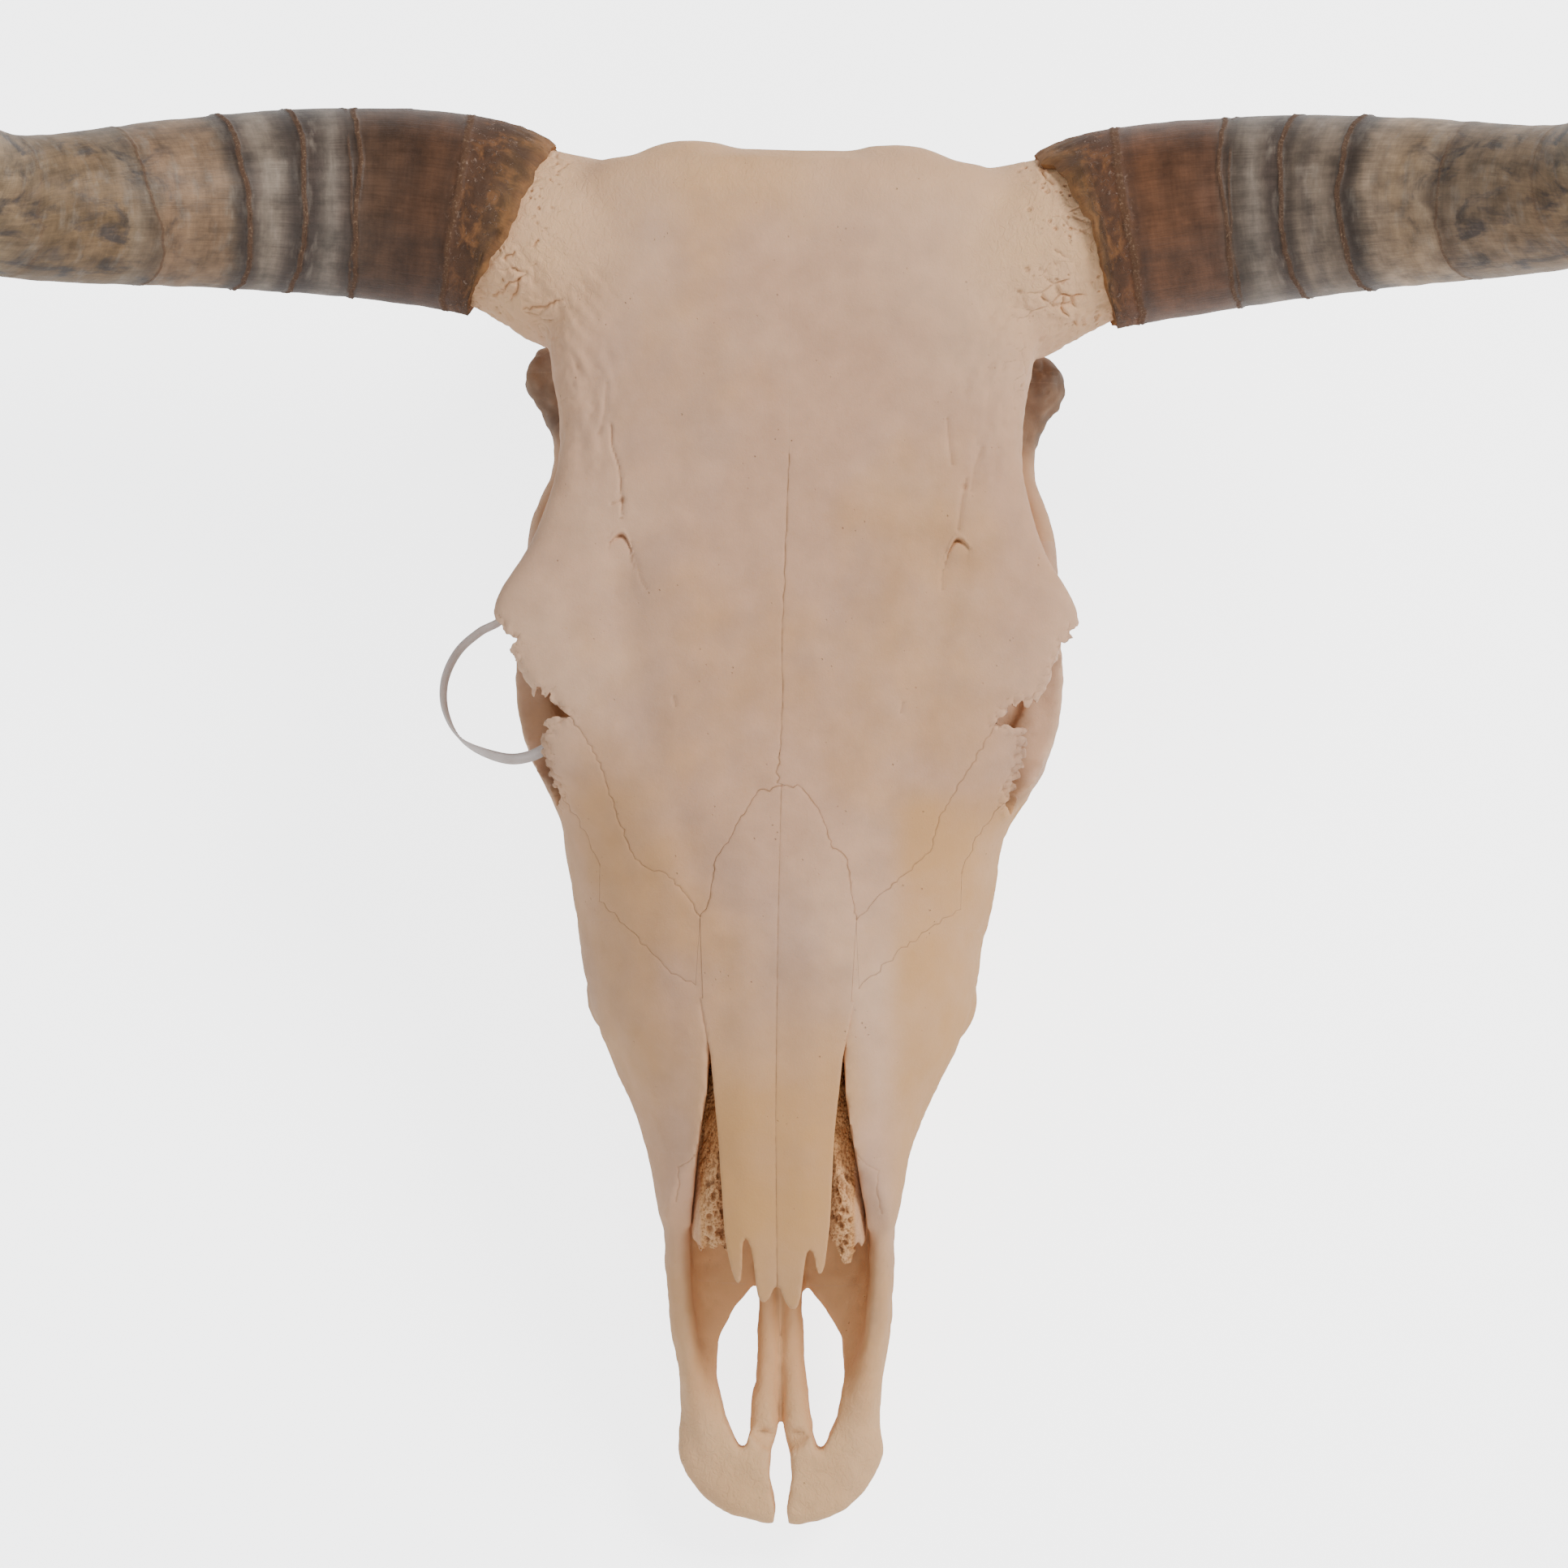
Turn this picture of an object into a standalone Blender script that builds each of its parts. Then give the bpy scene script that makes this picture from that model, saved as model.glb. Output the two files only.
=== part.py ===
"""Bull skull with its horn sheaths, life size, lying at rest on its teeth and jugular processes.

The bones are shaped in the skull's own frame, in millimetres: X across the head, Y along the face
towards the poll, Z out of the forehead. The finished solids are then tilted into the room's frame,
in metres, where the floor is Z = 0.
"""
import math

import bmesh
import bpy
import numpy as np
from mathutils import Matrix, Vector

# ---- driving dimensions (millimetres, degrees) ----
TILT_DEG = 12.0            # slope of the forehead when the skull lies at rest
REST_DROP = 157.3          # from the forehead's origin down to the floor, square to the floor
BONE_GAP = 0.3             # open seam between neighbouring bones
SHELL_VOXEL = 3.2          # size of the grid that fuses the head's volumes
SHELL_SMOOTHING = 7        # passes that round the fused surface
RIM_VOXEL = 2.4            # finer grid that cleans the rims of the hollows
RIM_SMOOTHING = 2
SHELL_FACES = 2300         # faces kept on the fused head

HORN_LENGTH = 600.0        # along the middle of one sheath, rim to tip
HORN_ROOT = (109.5, 213.3, -38.0)   # middle of the sheath's rim, right side
NASAL_THICKNESS = 5.5
TOOTH_HEIGHT = 38.0        # before its foot is cut level with the floor
TOOTH_BELOW = 16.0         # how much of it reaches below the floor until then
TOOTH_ROUNDING = 0.28      # share of the narrower side taken off the corners
TIE_WIDTH = 4.8
TIE_THICKNESS = 1.5

ROOM_SHIFT = (8.2, -66.9)   # puts the middle of the finished skull over the origin

MM = 0.001
TO_ROOM = (
    Matrix.Translation((ROOM_SHIFT[0] * MM, ROOM_SHIFT[1] * MM, REST_DROP * MM))
    @ Matrix.Rotation(math.radians(TILT_DEG), 4, "X")
    @ Matrix.Scale(MM, 4)
)

# Shell of the forehead and face, from the poll to the front of the cheek teeth.
# along, half width, crown, widest level, keel, power above, power below, keel width
ROOF = (
    (244.5, 46.0, -18.0, -27.0, -38.0, 2.2, 2.2, 0.9),
    (242.0, 66.0, -9.0, -28.0, -54.0, 2.5, 2.3, 0.9),
    (235.0, 84.0, -4.0, -31.0, -68.0, 3.0, 2.4, 0.9),
    (218.0, 90.0, -1.0, -33.0, -74.0, 3.2, 2.4, 0.85),
    (195.0, 93.0, 0.0, -31.0, -70.0, 3.4, 2.4, 0.8),
    (172.0, 94.5, -1.0, -27.0, -60.0, 3.8, 2.4, 0.75),
    (155.0, 92.0, -2.0, -24.0, -52.0, 4.0, 2.4, 0.7),
    (138.0, 89.5, -2.0, -22.0, -46.0, 4.2, 2.4, 0.7),
    (122.0, 90.0, -3.0, -21.0, -43.0, 4.2, 2.4, 0.7),
    (104.0, 94.5, -3.0, -20.0, -40.0, 4.2, 2.4, 0.75),
    (88.0, 101.0, -4.0, -19.0, -36.0, 4.2, 2.4, 0.8),
    (76.0, 109.0, -4.0, -18.0, -33.0, 4.0, 2.4, 0.85),
    (63.0, 113.8, -5.0, -17.0, -30.0, 3.8, 2.4, 0.85),
    (53.0, 109.0, -6.0, -16.0, -29.0, 3.8, 2.4, 0.85),
    (42.0, 103.0, -6.0, -16.0, -31.0, 3.8, 2.4, 0.8),
    (32.0, 97.0, -7.0, -17.0, -36.0, 3.6, 2.4, 0.8),
    (20.0, 95.0, -8.0, -20.0, -50.0, 3.3, 2.4, 0.8),
    (8.0, 94.5, -8.5, -30.0, -80.0, 3.0, 2.4, 0.8),
    (-6.0, 91.0, -9.0, -52.0, -118.0, 2.7, 2.4, 0.76),
    (-20.0, 86.5, -10.0, -64.0, -126.0, 2.5, 2.5, 0.74),
    (-40.0, 83.6, -11.5, -70.0, -127.0, 2.35, 2.6, 0.74),
    (-60.0, 79.6, -12.5, -71.0, -125.0, 2.3, 2.6, 0.76),
    (-82.0, 76.0, -14.0, -70.0, -121.0, 2.3, 2.6, 0.76),
    (-100.0, 70.6, -15.0, -71.0, -117.0, 2.3, 2.6, 0.78),
    (-120.0, 61.6, -17.0, -74.0, -113.0, 2.25, 2.6, 0.84),
    (-136.0, 54.6, -19.0, -68.0, -106.0, 2.2, 2.6, 0.88),
    (-152.0, 49.9, -22.0, -60.0, -98.0, 2.2, 2.6, 0.9),
    (-172.0, 47.1, -26.0, -58.0, -94.0, 2.2, 2.6, 0.92),
    (-190.0, 45.6, -30.0, -61.0, -94.0, 2.2, 2.6, 0.92),
    (-206.0, 44.6, -35.0, -64.0, -94.0, 2.2, 2.6, 0.92),
)
ROOF_FUSED = 28            # rows that belong to the fused head; the rest roof the open nose

# Box of the brain and the walls between the eyes, the same columns.
BRAINCASE = (
    (240.0, 58.0, -34.0, -76.0, -116.0, 2.6, 2.4, 0.8),
    (234.0, 70.0, -30.0, -86.0, -132.0, 2.8, 2.4, 0.7),
    (214.0, 78.0, -30.0, -92.0, -146.0, 2.8, 2.4, 0.6),
    (190.0, 76.0, -30.0, -94.0, -148.0, 2.8, 2.4, 0.55),
    (165.0, 68.0, -30.0, -92.0, -146.0, 2.6, 2.4, 0.55),
    (140.0, 60.0, -30.0, -86.0, -141.0, 2.4, 2.4, 0.55),
    (110.0, 54.0, -28.0, -80.0, -136.0, 2.4, 2.4, 0.5),
    (80.0, 47.0, -26.0, -76.0, -132.0, 2.4, 2.4, 0.5),
    (50.0, 42.0, -24.0, -76.0, -132.0, 2.4, 2.4, 0.6),
    (25.0, 46.0, -24.0, -80.0, -134.0, 2.4, 2.4, 0.8),
    (0.0, 62.0, -24.0, -86.0, -134.0, 2.4, 2.4, 0.85),
    (-20.0, 66.0, -24.0, -86.0, -132.0, 2.4, 2.4, 0.85),
)

# Hollow of the nose: along, half width, roof, widest level, floor, powers, floor width.
NOSE_HOLLOW = (
    (-92.0, 8.0, -42.0, -52.0, -62.0, 2.2, 2.2, 1.0),
    (-104.0, 24.0, -28.0, -54.0, -76.0, 2.2, 2.4, 1.0),
    (-126.0, 32.0, -24.0, -56.0, -82.0, 2.2, 2.6, 1.0),
    (-148.0, 34.0, -22.0, -58.0, -85.0, 2.2, 2.6, 1.0),
    (-172.0, 35.0, -20.0, -60.0, -86.0, 2.4, 2.8, 1.0),
    (-192.0, 35.0, -16.0, -62.0, -86.0, 2.6, 2.8, 1.0),
    (-214.0, 33.0, -12.0, -64.0, -85.0, 2.8, 2.8, 1.0),
    (-232.0, 27.5, -10.0, -64.0, -83.0, 2.8, 2.6, 1.0),
    (-248.0, 21.0, -10.0, -62.0, -79.0, 2.6, 2.4, 1.0),
    (-262.0, 10.0, -10.0, -58.0, -74.0, 2.4, 2.2, 1.0),
)

# Plates in front of the cheek teeth, down to the two rounded tips, the same columns.
PALATE_FRONT = (
    (-120.0, 58.0, -84.0, -96.0, -112.0, 2.6, 2.6, 0.9),
    (-140.0, 50.0, -78.0, -90.0, -105.0, 2.6, 2.6, 0.9),
    (-165.0, 47.1, -72.0, -86.0, -98.0, 2.6, 2.6, 0.9),
    (-190.0, 45.5, -72.0, -84.0, -95.0, 2.6, 2.6, 0.9),
    (-215.0, 43.8, -73.0, -83.0, -93.0, 2.6, 2.6, 0.9),
    (-235.0, 41.0, -72.0, -82.0, -91.0, 2.6, 2.6, 0.9),
    (-248.0, 40.0, -70.0, -80.0, -89.0, 2.6, 2.6, 0.9),
    (-258.0, 41.0, -69.0, -78.0, -87.0, 2.6, 2.6, 0.9),
    (-266.0, 41.0, -69.0, -77.0, -86.0, 2.6, 2.6, 0.9),
    (-274.0, 37.2, -70.0, -77.0, -85.0, 2.8, 2.8, 0.9),
    (-282.0, 30.7, -71.0, -77.0, -84.0, 3.0, 3.0, 0.9),
    (-288.5, 20.7, -72.0, -77.0, -83.0, 3.0, 3.0, 0.9),
    (-292.0, 9.0, -74.0, -77.0, -81.0, 3.0, 3.0, 0.9),
)

# Round members: across, along, height, radius across, radius in height.
CHEEK_ARCH = (
    (66.0, -40.0, -84.0, 14.0, 18.0),
    (75.5, -14.0, -80.0, 12.5, 19.0),
    (87.5, 4.0, -78.0, 10.5, 16.0),
    (97.0, 20.0, -77.0, 8.5, 15.0),
    (101.5, 38.0, -76.0, 6.5, 14.0),
    (101.2, 58.0, -78.0, 6.0, 13.0),
    (100.4, 80.0, -82.0, 5.5, 11.5),
    (97.2, 104.0, -85.0, 5.5, 10.5),
    (89.0, 126.0, -87.0, 5.5, 10.0),
    (90.0, 142.0, -87.0, 8.0, 10.0),
    (91.0, 157.0, -86.0, 13.0, 12.0),
    (78.0, 172.0, -86.0, 12.0, 13.0),
    (62.0, 182.0, -88.0, 10.0, 14.0),
)
EYE_RIM_REAR = (
    (101.0, 67.0, -18.0, 9.0, 11.0),
    (102.0, 67.5, -34.0, 6.5, 9.0),
    (101.5, 67.0, -50.0, 6.0, 9.5),
    (100.5, 64.0, -68.0, 6.0, 12.0),
)
EYE_RIM_LOW = (
    (84.0, -2.0, -60.0, 10.0, 12.0),
    (93.0, 9.0, -64.0, 7.5, 10.0),
    (99.0, 22.0, -66.0, 6.0, 8.0),
    (103.0, 38.0, -64.0, 5.0, 7.0),
    (103.0, 54.0, -60.0, 5.0, 8.0),
)
HORN_CORE = (
    (40.0, 190.0, -36.0, 30.0, 30.0),
    (72.0, 200.5, -37.0, 38.0, 33.0),
    (86.0, 204.5, -38.0, 38.5, 34.0),
    (98.0, 209.0, -38.0, 36.5, 34.0),
    (106.0, 212.0, -38.0, 35.0, 34.0),
    (119.0, 218.0, -38.0, 34.5, 34.0),
)
NOSE_WALL = (
    (42.0, -132.0, -44.0, 7.0, 12.0),
    (39.8, -148.0, -52.0, 5.2, 14.0),
    (39.6, -168.0, -58.0, 5.2, 14.0),
    (39.3, -190.0, -64.0, 5.2, 14.0),
    (37.8, -212.0, -69.0, 5.2, 13.0),
    (34.0, -232.0, -73.0, 6.4, 11.0),
    (30.0, -248.0, -76.0, 8.6, 9.0),
    (26.0, -262.0, -77.0, 9.5, 8.0),
)
JUGULAR = (
    (58.0, 208.0, -122.0, 18.0, 15.0),
    (63.5, 207.0, -141.0, 11.5, 15.0),
    (65.5, 204.0, -159.0, 7.0, 14.0),
    (64.0, 201.0, -177.0, 5.2, 11.5),
    (60.0, 198.5, -195.0, 4.8, 9.0),
    (56.0, 197.0, -212.0, 4.6, 7.0),
)
PTERYGOID = (
    (30.0, 0.0, -128.0, 7.0, 12.0),
    (27.0, 24.0, -134.0, 5.0, 14.0),
    (25.0, 46.0, -138.0, 4.0, 15.0),
    (23.0, 62.0, -138.0, 4.2, 13.0),
    (21.5, 78.0, -137.0, 4.6, 9.5),
    (20.0, 96.0, -136.0, 5.0, 6.5),
    (19.0, 112.0, -136.0, 5.0, 4.5),
)
ALVEOLI = (
    (41.0, -148.0, -97.0, 7.0, 8.0),
    (43.0, -134.0, -104.0, 12.2, 16.0),
    (46.0, -110.0, -108.0, 13.4, 17.0),
    (48.5, -80.0, -114.0, 14.6, 19.0),
    (50.0, -45.0, -121.0, 15.2, 21.0),
    (50.0, -10.0, -127.0, 15.2, 21.0),
    (49.0, 18.0, -129.0, 13.6, 19.0),
)

# Lumps: centre, then radii.
CONDYLE_UPPER = ((33.0, 227.0, -138.0), (13.5, 16.0, 15.0))
CONDYLE_LOWER = ((25.0, 232.0, -157.0), (16.0, 14.0, 13.0))
MASTOID_LOBE = ((93.0, 158.0, -84.0), (16.5, 12.5, 12.0))
LOBE_CORNER = ((92.0, 145.0, -88.0), (9.0, 7.5, 9.0))
EAR_BULLA = ((42.0, 168.0, -150.0), (12.0, 16.0, 17.0))
NAPE_BOSS = ((0.0, 236.0, -62.0), (20.0, 9.0, 16.0))
CHEEK_BOSS = ((70.0, -84.0, -80.0), (8.0, 14.0, 10.0))
EYE_FLOOR = ((84.0, 22.0, -86.0), (21.0, 28.0, 10.0))
SKULL_BASE = ((0.0, 150.0, -142.0), (24.0, 92.0, 15.0))
POLL_BULGE = ((39.0, 235.5, -22.0), (26.0, 12.0, 15.0))

# Hollows cut out of the head: centre, then radii.
EYE_SOCKET = ((94.0, 28.0, -45.0), (50.0, 30.5, 27.0))
EYE_NOTCH = ((98.0, 25.5, -18.0), (15.0, 7.5, 24.0))
TEMPLE_HOLLOW = ((72.0, 110.0, -84.0), (15.0, 42.0, 26.0))
SPINAL_CANAL = ((0.0, 246.0, -134.0), (16.5, 40.0, 15.0))
THROAT_HOLLOW = ((0.0, 44.0, -146.0), (19.0, 44.0, 20.0))
PALATE_VAULT = ((0.0, -62.0, -142.0), (33.0, 92.0, 24.0))
PALATE_FISSURE = ((10.5, -200.0), (19.0, -209.0), (24.5, -221.0), (24.2, -236.0), (21.5, -249.0),
                  (16.0, -260.0), (11.0, -250.0), (9.8, -236.0), (9.2, -218.0))
TIP_CLEFT = ((0.3, -249.0), (2.0, -257.0), (4.4, -265.0), (4.7, -273.0), (2.2, -281.0),
             (3.4, -297.0))

SKY = 40.0                 # above everything that a column cuts
GROUND = -230.0            # below everything
REACH = 140.0              # beyond the widest bone
NOSE_OPENING = ((28.4, -84.0), (26.0, -104.0), (26.8, -120.0), (31.4, -149.0), (34.5, -176.0),
                (34.5, -226.0))
NOSE_SLOPE = ((-143.0, SKY), (-141.0, -26.0), (-156.0, -36.0), (-175.0, -47.0), (-200.0, -54.0),
              (-220.0, -60.0), (-220.0, SKY))
PALATINE_BAR = ((4.9, -160.0, -83.0, 4.2, 5.0), (4.9, -200.0, -82.0, 4.2, 5.0),
                (5.2, -232.0, -80.0, 4.6, 5.0), (7.0, -254.0, -78.0, 5.6, 6.0))
TURBINATE = ((25.5, -84.0, -30.0, 4.0, 6.0), (26.5, -100.0, -33.0, 5.5, 9.0),
             (27.5, -120.0, -37.0, 7.0, 13.0), (28.0, -140.0, -42.0, 8.0, 15.0),
             (27.0, -160.0, -48.0, 8.5, 14.0), (25.5, -175.0, -53.0, 7.5, 10.0),
             (24.5, -181.0, -55.0, 5.0, 7.0))
TURBINATE_GAP = 1.2        # between the spongy bone and the wall that carries it

# Bones seen from the side: along, height.
PREMAXILLA_SIDE = ((-300.0, SKY), (-141.0, SKY), (-146.0, -42.0), (-160.0, -60.0),
                   (-196.0, -74.0), (-204.0, -120.0), (-300.0, -120.0))
CHEEK_SIDE = ((-52.0, SKY), (-58.0, -60.0), (-50.0, -100.0), (0.0, -106.0), (98.0, -106.0),
              (98.0, -46.0), (24.0, -46.0), (2.0, -40.0), (2.0, SKY))
JAW_SIDE = ((-300.0, SKY), (-20.0, SKY), (-20.0, -50.0), (8.0, -86.0), (27.0, -98.0),
            (30.0, -230.0), (-300.0, -230.0))

# Seams between bones seen from above, right side: across, along.
NASAL_SEAM = ((0.0, 0.0), (5.0, 0.0), (10.0, -3.5), (15.5, -12.0), (20.0, -21.0), (26.5, -30.0),
              (27.5, -40.0), (30.0, -51.5))
NASAL_EDGE = ((28.5, -83.0), (25.5, -105.0), (22.5, -135.0), (20.5, -170.0))
NASAL_PRONGS = ((17.0, -177.0), (15.5, -192.0), (13.5, -178.0), (11.0, -177.5), (6.5, -201.0),
                (3.5, -199.0), (0.0, -194.0))
EYE_TO_NOSE_SEAM = ((83.0, 25.0), (73.0, 10.0), (63.0, -11.0), (57.5, -25.0), (49.0, -35.0),
                    (42.0, -40.0), (30.0, -51.5))
TEAR_TO_JAW_SEAM = ((31.5, -78.0), (44.0, -68.0), (60.0, -53.0), (70.0, -47.0))
TEAR_TO_CHEEK_SEAM = ((70.0, -33.0), (85.0, -6.0))
TEAR_OUTER_CORNERS = ((101.0, -8.0), (108.0, 25.0))
BEYOND_BROW = 130.0        # across, past the widest part of the forehead
BEYOND_POLL = 262.0
HORN_ROOT_AREA = ((34.0, 256.0), (46.0, 176.0), (64.0, 160.0), (126.0, 160.0), (126.0, 256.0))
BROW_FLOOR = -49.2         # the forehead's bone ends here below
ROOT_FLOOR = -78.0         # and here by the horns
ROOT_TOP = -20.0
TEAR_FLOOR = -48.0
NASAL_FLOOR = -70.0        # below the underside of the nasal bones
CHEEK_INNER = 64.0         # the cheekbone lies outside this

# Cheek teeth of one row, front to rear: length along the row, width, middle across.
CHEEK_TEETH = ((17.0, 16.0, 43.5), (19.0, 19.0, 45.5), (19.0, 21.0, 47.5),
               (26.0, 24.0, 49.0), (29.0, 25.0, 50.0), (31.0, 23.0, 49.5))
TOOTH_ROW_FRONT = -134.0
TOOTH_GAP = 0.8

# Horn axis: distance from the rim, heading towards the poll, rise out of the face, radius.
HORN_COURSE = ((0.0, 27.0, 0.0, 37.5), (8.0, 14.0, 1.0, 38.4), (20.0, 9.0, 2.0, 38.8),
               (45.0, 5.0, 5.0, 38.3), (60.0, 3.2, 9.0, 37.4), (75.0, 1.5, 14.0, 36.5),
               (105.0, -1.0, 22.0, 34.4), (135.0, -3.2, 29.0, 32.2), (160.0, -5.0, 35.0, 30.2),
               (178.0, -5.0, 39.0, 28.8), (193.0, -1.5, 42.0, 27.9), (206.0, 7.0, 45.0, 27.3),
               (219.0, 21.0, 48.0, 26.9), (233.0, 37.0, 51.0, 26.6), (250.0, 52.0, 53.0, 26.3),
               (272.0, 63.0, 54.0, 25.7), (300.0, 71.0, 53.5, 24.6), (335.0, 76.0, 52.0, 23.0),
               (385.0, 80.0, 49.0, 20.6), (440.0, 83.0, 45.0, 17.0), (500.0, 85.0, 42.0, 12.3),
               (560.0, 86.0, 39.0, 7.0), (600.0, 87.0, 38.0, 2.0))
HORN_LEAN = 3.0            # the right horn heads this many degrees higher, the left one lower
LEAN_REACHED = 60.0        # distance from the rim where the lean is complete
RIM_BLOCK_RADIUS = 56.0    # of the block that trims the horn cores, wider than a core
RIM_BLOCK_DEPTH = 40.0
HORN_SIDES = 14
HORN_RINGS = 25
# The real head is a little crooked: sideways shift at places along it.
DRIFT_ALONG = (-292.0, -130.0, -60.0, 120.0, 210.0)
DRIFT_ACROSS = (5.6, 1.3, 0.6, 1.1, -0.2)

# Band looped round the rear rim of the left eye: across, along, degrees that it is rolled over.
TIE_LOOP = ((-113.5, 60.5, 45.0), (-121.5, 57.5, 50.0), (-129.5, 50.0, 48.0),
            (-134.5, 38.5, 42.0), (-133.5, 26.0, 32.0), (-126.5, 15.0, 5.0),
            (-115.0, 9.0, -45.0), (-103.5, 7.5, -62.0), (-92.0, 12.5, -62.0),
            (-85.0, 26.0, -40.0), (-83.5, 42.0, 0.0), (-85.5, 60.0, 10.0), (-90.0, 74.0, 12.0),
            (-98.0, 80.5, 12.0), (-107.0, 77.5, 15.0), (-112.0, 69.0, 30.0))
TIE_LEVEL = -45.0

# Finishes: base colour, roughness.
BONE = ((0.60, 0.46, 0.36), 0.72)
PALE_BONE = ((0.66, 0.53, 0.42), 0.70)
WARM_BONE = ((0.55, 0.38, 0.25), 0.72)
SPONGY_BONE = ((0.46, 0.22, 0.08), 0.85)
HORN = ((0.14, 0.10, 0.07), 0.48)
PLASTIC = ((0.78, 0.70, 0.67), 0.35)
FINISHES = {"braincase": WARM_BONE, "frontal": PALE_BONE, "nasal": PALE_BONE, "horn": HORN,
            "turbinate": SPONGY_BONE, "cable": PLASTIC}
CREASE_DEG = 38.0          # sharper edges than this stay crisp


def clear_scene():
    for obj in list(bpy.data.objects):
        bpy.data.objects.remove(obj, do_unlink=True)


def new_object(name, form):
    mesh = bpy.data.meshes.new(name)
    bmesh.ops.recalc_face_normals(form, faces=form.faces)
    form.to_mesh(mesh)
    form.free()
    obj = bpy.data.objects.new(name, mesh)
    bpy.context.collection.objects.link(obj)
    return obj


def smooth_rows(rows, places, at):
    """Rows of sizes read along a smooth curve through them."""
    table = np.array(rows, dtype=float)
    slopes = np.gradient(table, places, axis=0)
    low = np.clip(np.searchsorted(places, at, side="right") - 1, 0, len(places) - 2)
    span = (places[low + 1] - places[low])[:, None]
    t = (at[:, None] - places[low][:, None]) / span
    return (
        (2 * t**3 - 3 * t**2 + 1) * table[low]
        + (t**3 - 2 * t**2 + t) * span * slopes[low]
        + (3 * t**2 - 2 * t**3) * table[low + 1]
        + (t**3 - t**2) * span * slopes[low + 1]
    )


def smooth_course(rows, count):
    """The rows of a member, at evenly spaced places along it."""
    steps = np.linalg.norm(np.diff(np.array(rows)[:, :3], axis=0), axis=1)
    places = np.concatenate(([0.0], np.cumsum(steps)))
    return smooth_rows(rows, places, np.linspace(0.0, places[-1], count))


def skin_rings(form, rings):
    """Bridge rings of points into one closed tube."""
    loops = []
    for ring in rings:
        verts = [form.verts.new(point) for point in ring]
        loops.append([form.edges.new((a, b)) for a, b in zip(verts, verts[1:] + verts[:1])])
    for near, far in zip(loops, loops[1:]):
        bmesh.ops.bridge_loops(form, edges=near + far)
    for end in (loops[0], loops[-1]):
        bmesh.ops.contextual_create(form, geom=end)


def section_ring(row, sides):
    along, half_width, crown, widest, keel, power_up, power_down, keel_width = row
    ring = []
    for index in range(sides):
        angle = 2 * math.pi * (index + 0.5) / sides
        c, s = math.cos(angle), math.sin(angle)
        power = power_up if s > 0 else power_down
        height = crown - widest if s > 0 else widest - keel
        narrowing = 1.0 if s > 0 else 1.0 - (1.0 - keel_width) * abs(s) ** 1.5
        across = math.copysign(abs(c) ** (2 / power), c) * half_width * narrowing
        ring.append((across, along, widest + math.copysign(abs(s) ** (2 / power), s) * height))
    return ring


def add_shell(form, rows, count=60, sides=56):
    table = np.array(rows, dtype=float)[::-1]
    at = np.linspace(table[-1, 0], table[0, 0], count)
    skin_rings(form, [section_ring(row, sides) for row in smooth_rows(table, table[:, 0], at)])


def add_member(form, rows, side, count=18, sides=16):
    """A round member swept along its course, mirrored to the left when side is -1."""
    course = smooth_course(rows, count)
    middles = [Vector((side * row[0], row[1], row[2])) for row in course]
    rings = []
    for index, middle in enumerate(middles):
        ahead = middles[min(index + 1, count - 1)] - middles[max(index - 1, 0)]
        ahead.normalize()
        upright = Vector((0, 0, 1)) if abs(ahead.z) < 0.8 else Vector((0, 1, 0))
        across = ahead.cross(upright).normalized()
        raised = across.cross(ahead).normalized()
        wide, tall = course[index][3], course[index][4]
        turns = [2 * math.pi * k / sides for k in range(sides)]
        rings.append([
            middle + across * (wide * math.cos(a)) + raised * (tall * math.sin(a)) for a in turns
        ])
    skin_rings(form, rings)


def add_lump(form, lump, side=1):
    (across, along, height), radii = lump
    place = Matrix.Translation((side * across, along, height)) @ Matrix.Diagonal((*radii, 1.0))
    bmesh.ops.create_icosphere(form, subdivisions=4, radius=1.0, matrix=place)


def add_prism(form, outline, low, high, side=1):
    """A column over an outline seen from above."""
    floor = form.faces.new([form.verts.new((side * u, v, low)) for u, v in outline])
    raised = bmesh.ops.extrude_face_region(form, geom=[floor])["geom"]
    tops = [item for item in raised if isinstance(item, bmesh.types.BMVert)]
    bmesh.ops.translate(form, verts=tops, vec=(0, 0, high - low))


def add_side_prism(form, outline, near, far, side=1):
    """A column over an outline seen from the side: along, height."""
    wall = form.faces.new([form.verts.new((side * near, v, w)) for v, w in outline])
    raised = bmesh.ops.extrude_face_region(form, geom=[wall])["geom"]
    tops = [item for item in raised if isinstance(item, bmesh.types.BMVert)]
    bmesh.ops.translate(form, verts=tops, vec=(side * (far - near), 0, 0))


def offset_outline(outline, gap):
    """The outline moved outwards by the gap."""
    points = [Vector(point) for point in outline]
    count = len(points)
    area = sum(points[i].cross(points[(i + 1) % count]) for i in range(count))
    turn = 1.0 if area > 0 else -1.0
    moved = []
    for i, point in enumerate(points):
        before = (point - points[i - 1]).normalized()
        after = (points[(i + 1) % count] - point).normalized()
        normals = [Vector((edge.y, -edge.x)) * turn for edge in (before, after)]
        middle = (normals[0] + normals[1]).normalized()
        moved.append(point + middle * gap / max(0.4, middle.dot(normals[0])))
    return moved


def apply_modifiers(obj):
    graph = bpy.context.evaluated_depsgraph_get()
    mesh = bpy.data.meshes.new_from_object(obj.evaluated_get(graph))
    obj.modifiers.clear()
    obj.data = mesh


def combine(obj, other, operation):
    cut = obj.modifiers.new("combine", "BOOLEAN")
    cut.operation = operation
    cut.solver = "EXACT"
    cut.object = other
    apply_modifiers(obj)
    bpy.data.objects.remove(other, do_unlink=True)


def make(name, build, *args):
    form = bmesh.new()
    build(form, *args)
    return new_object(name, form)


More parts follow.
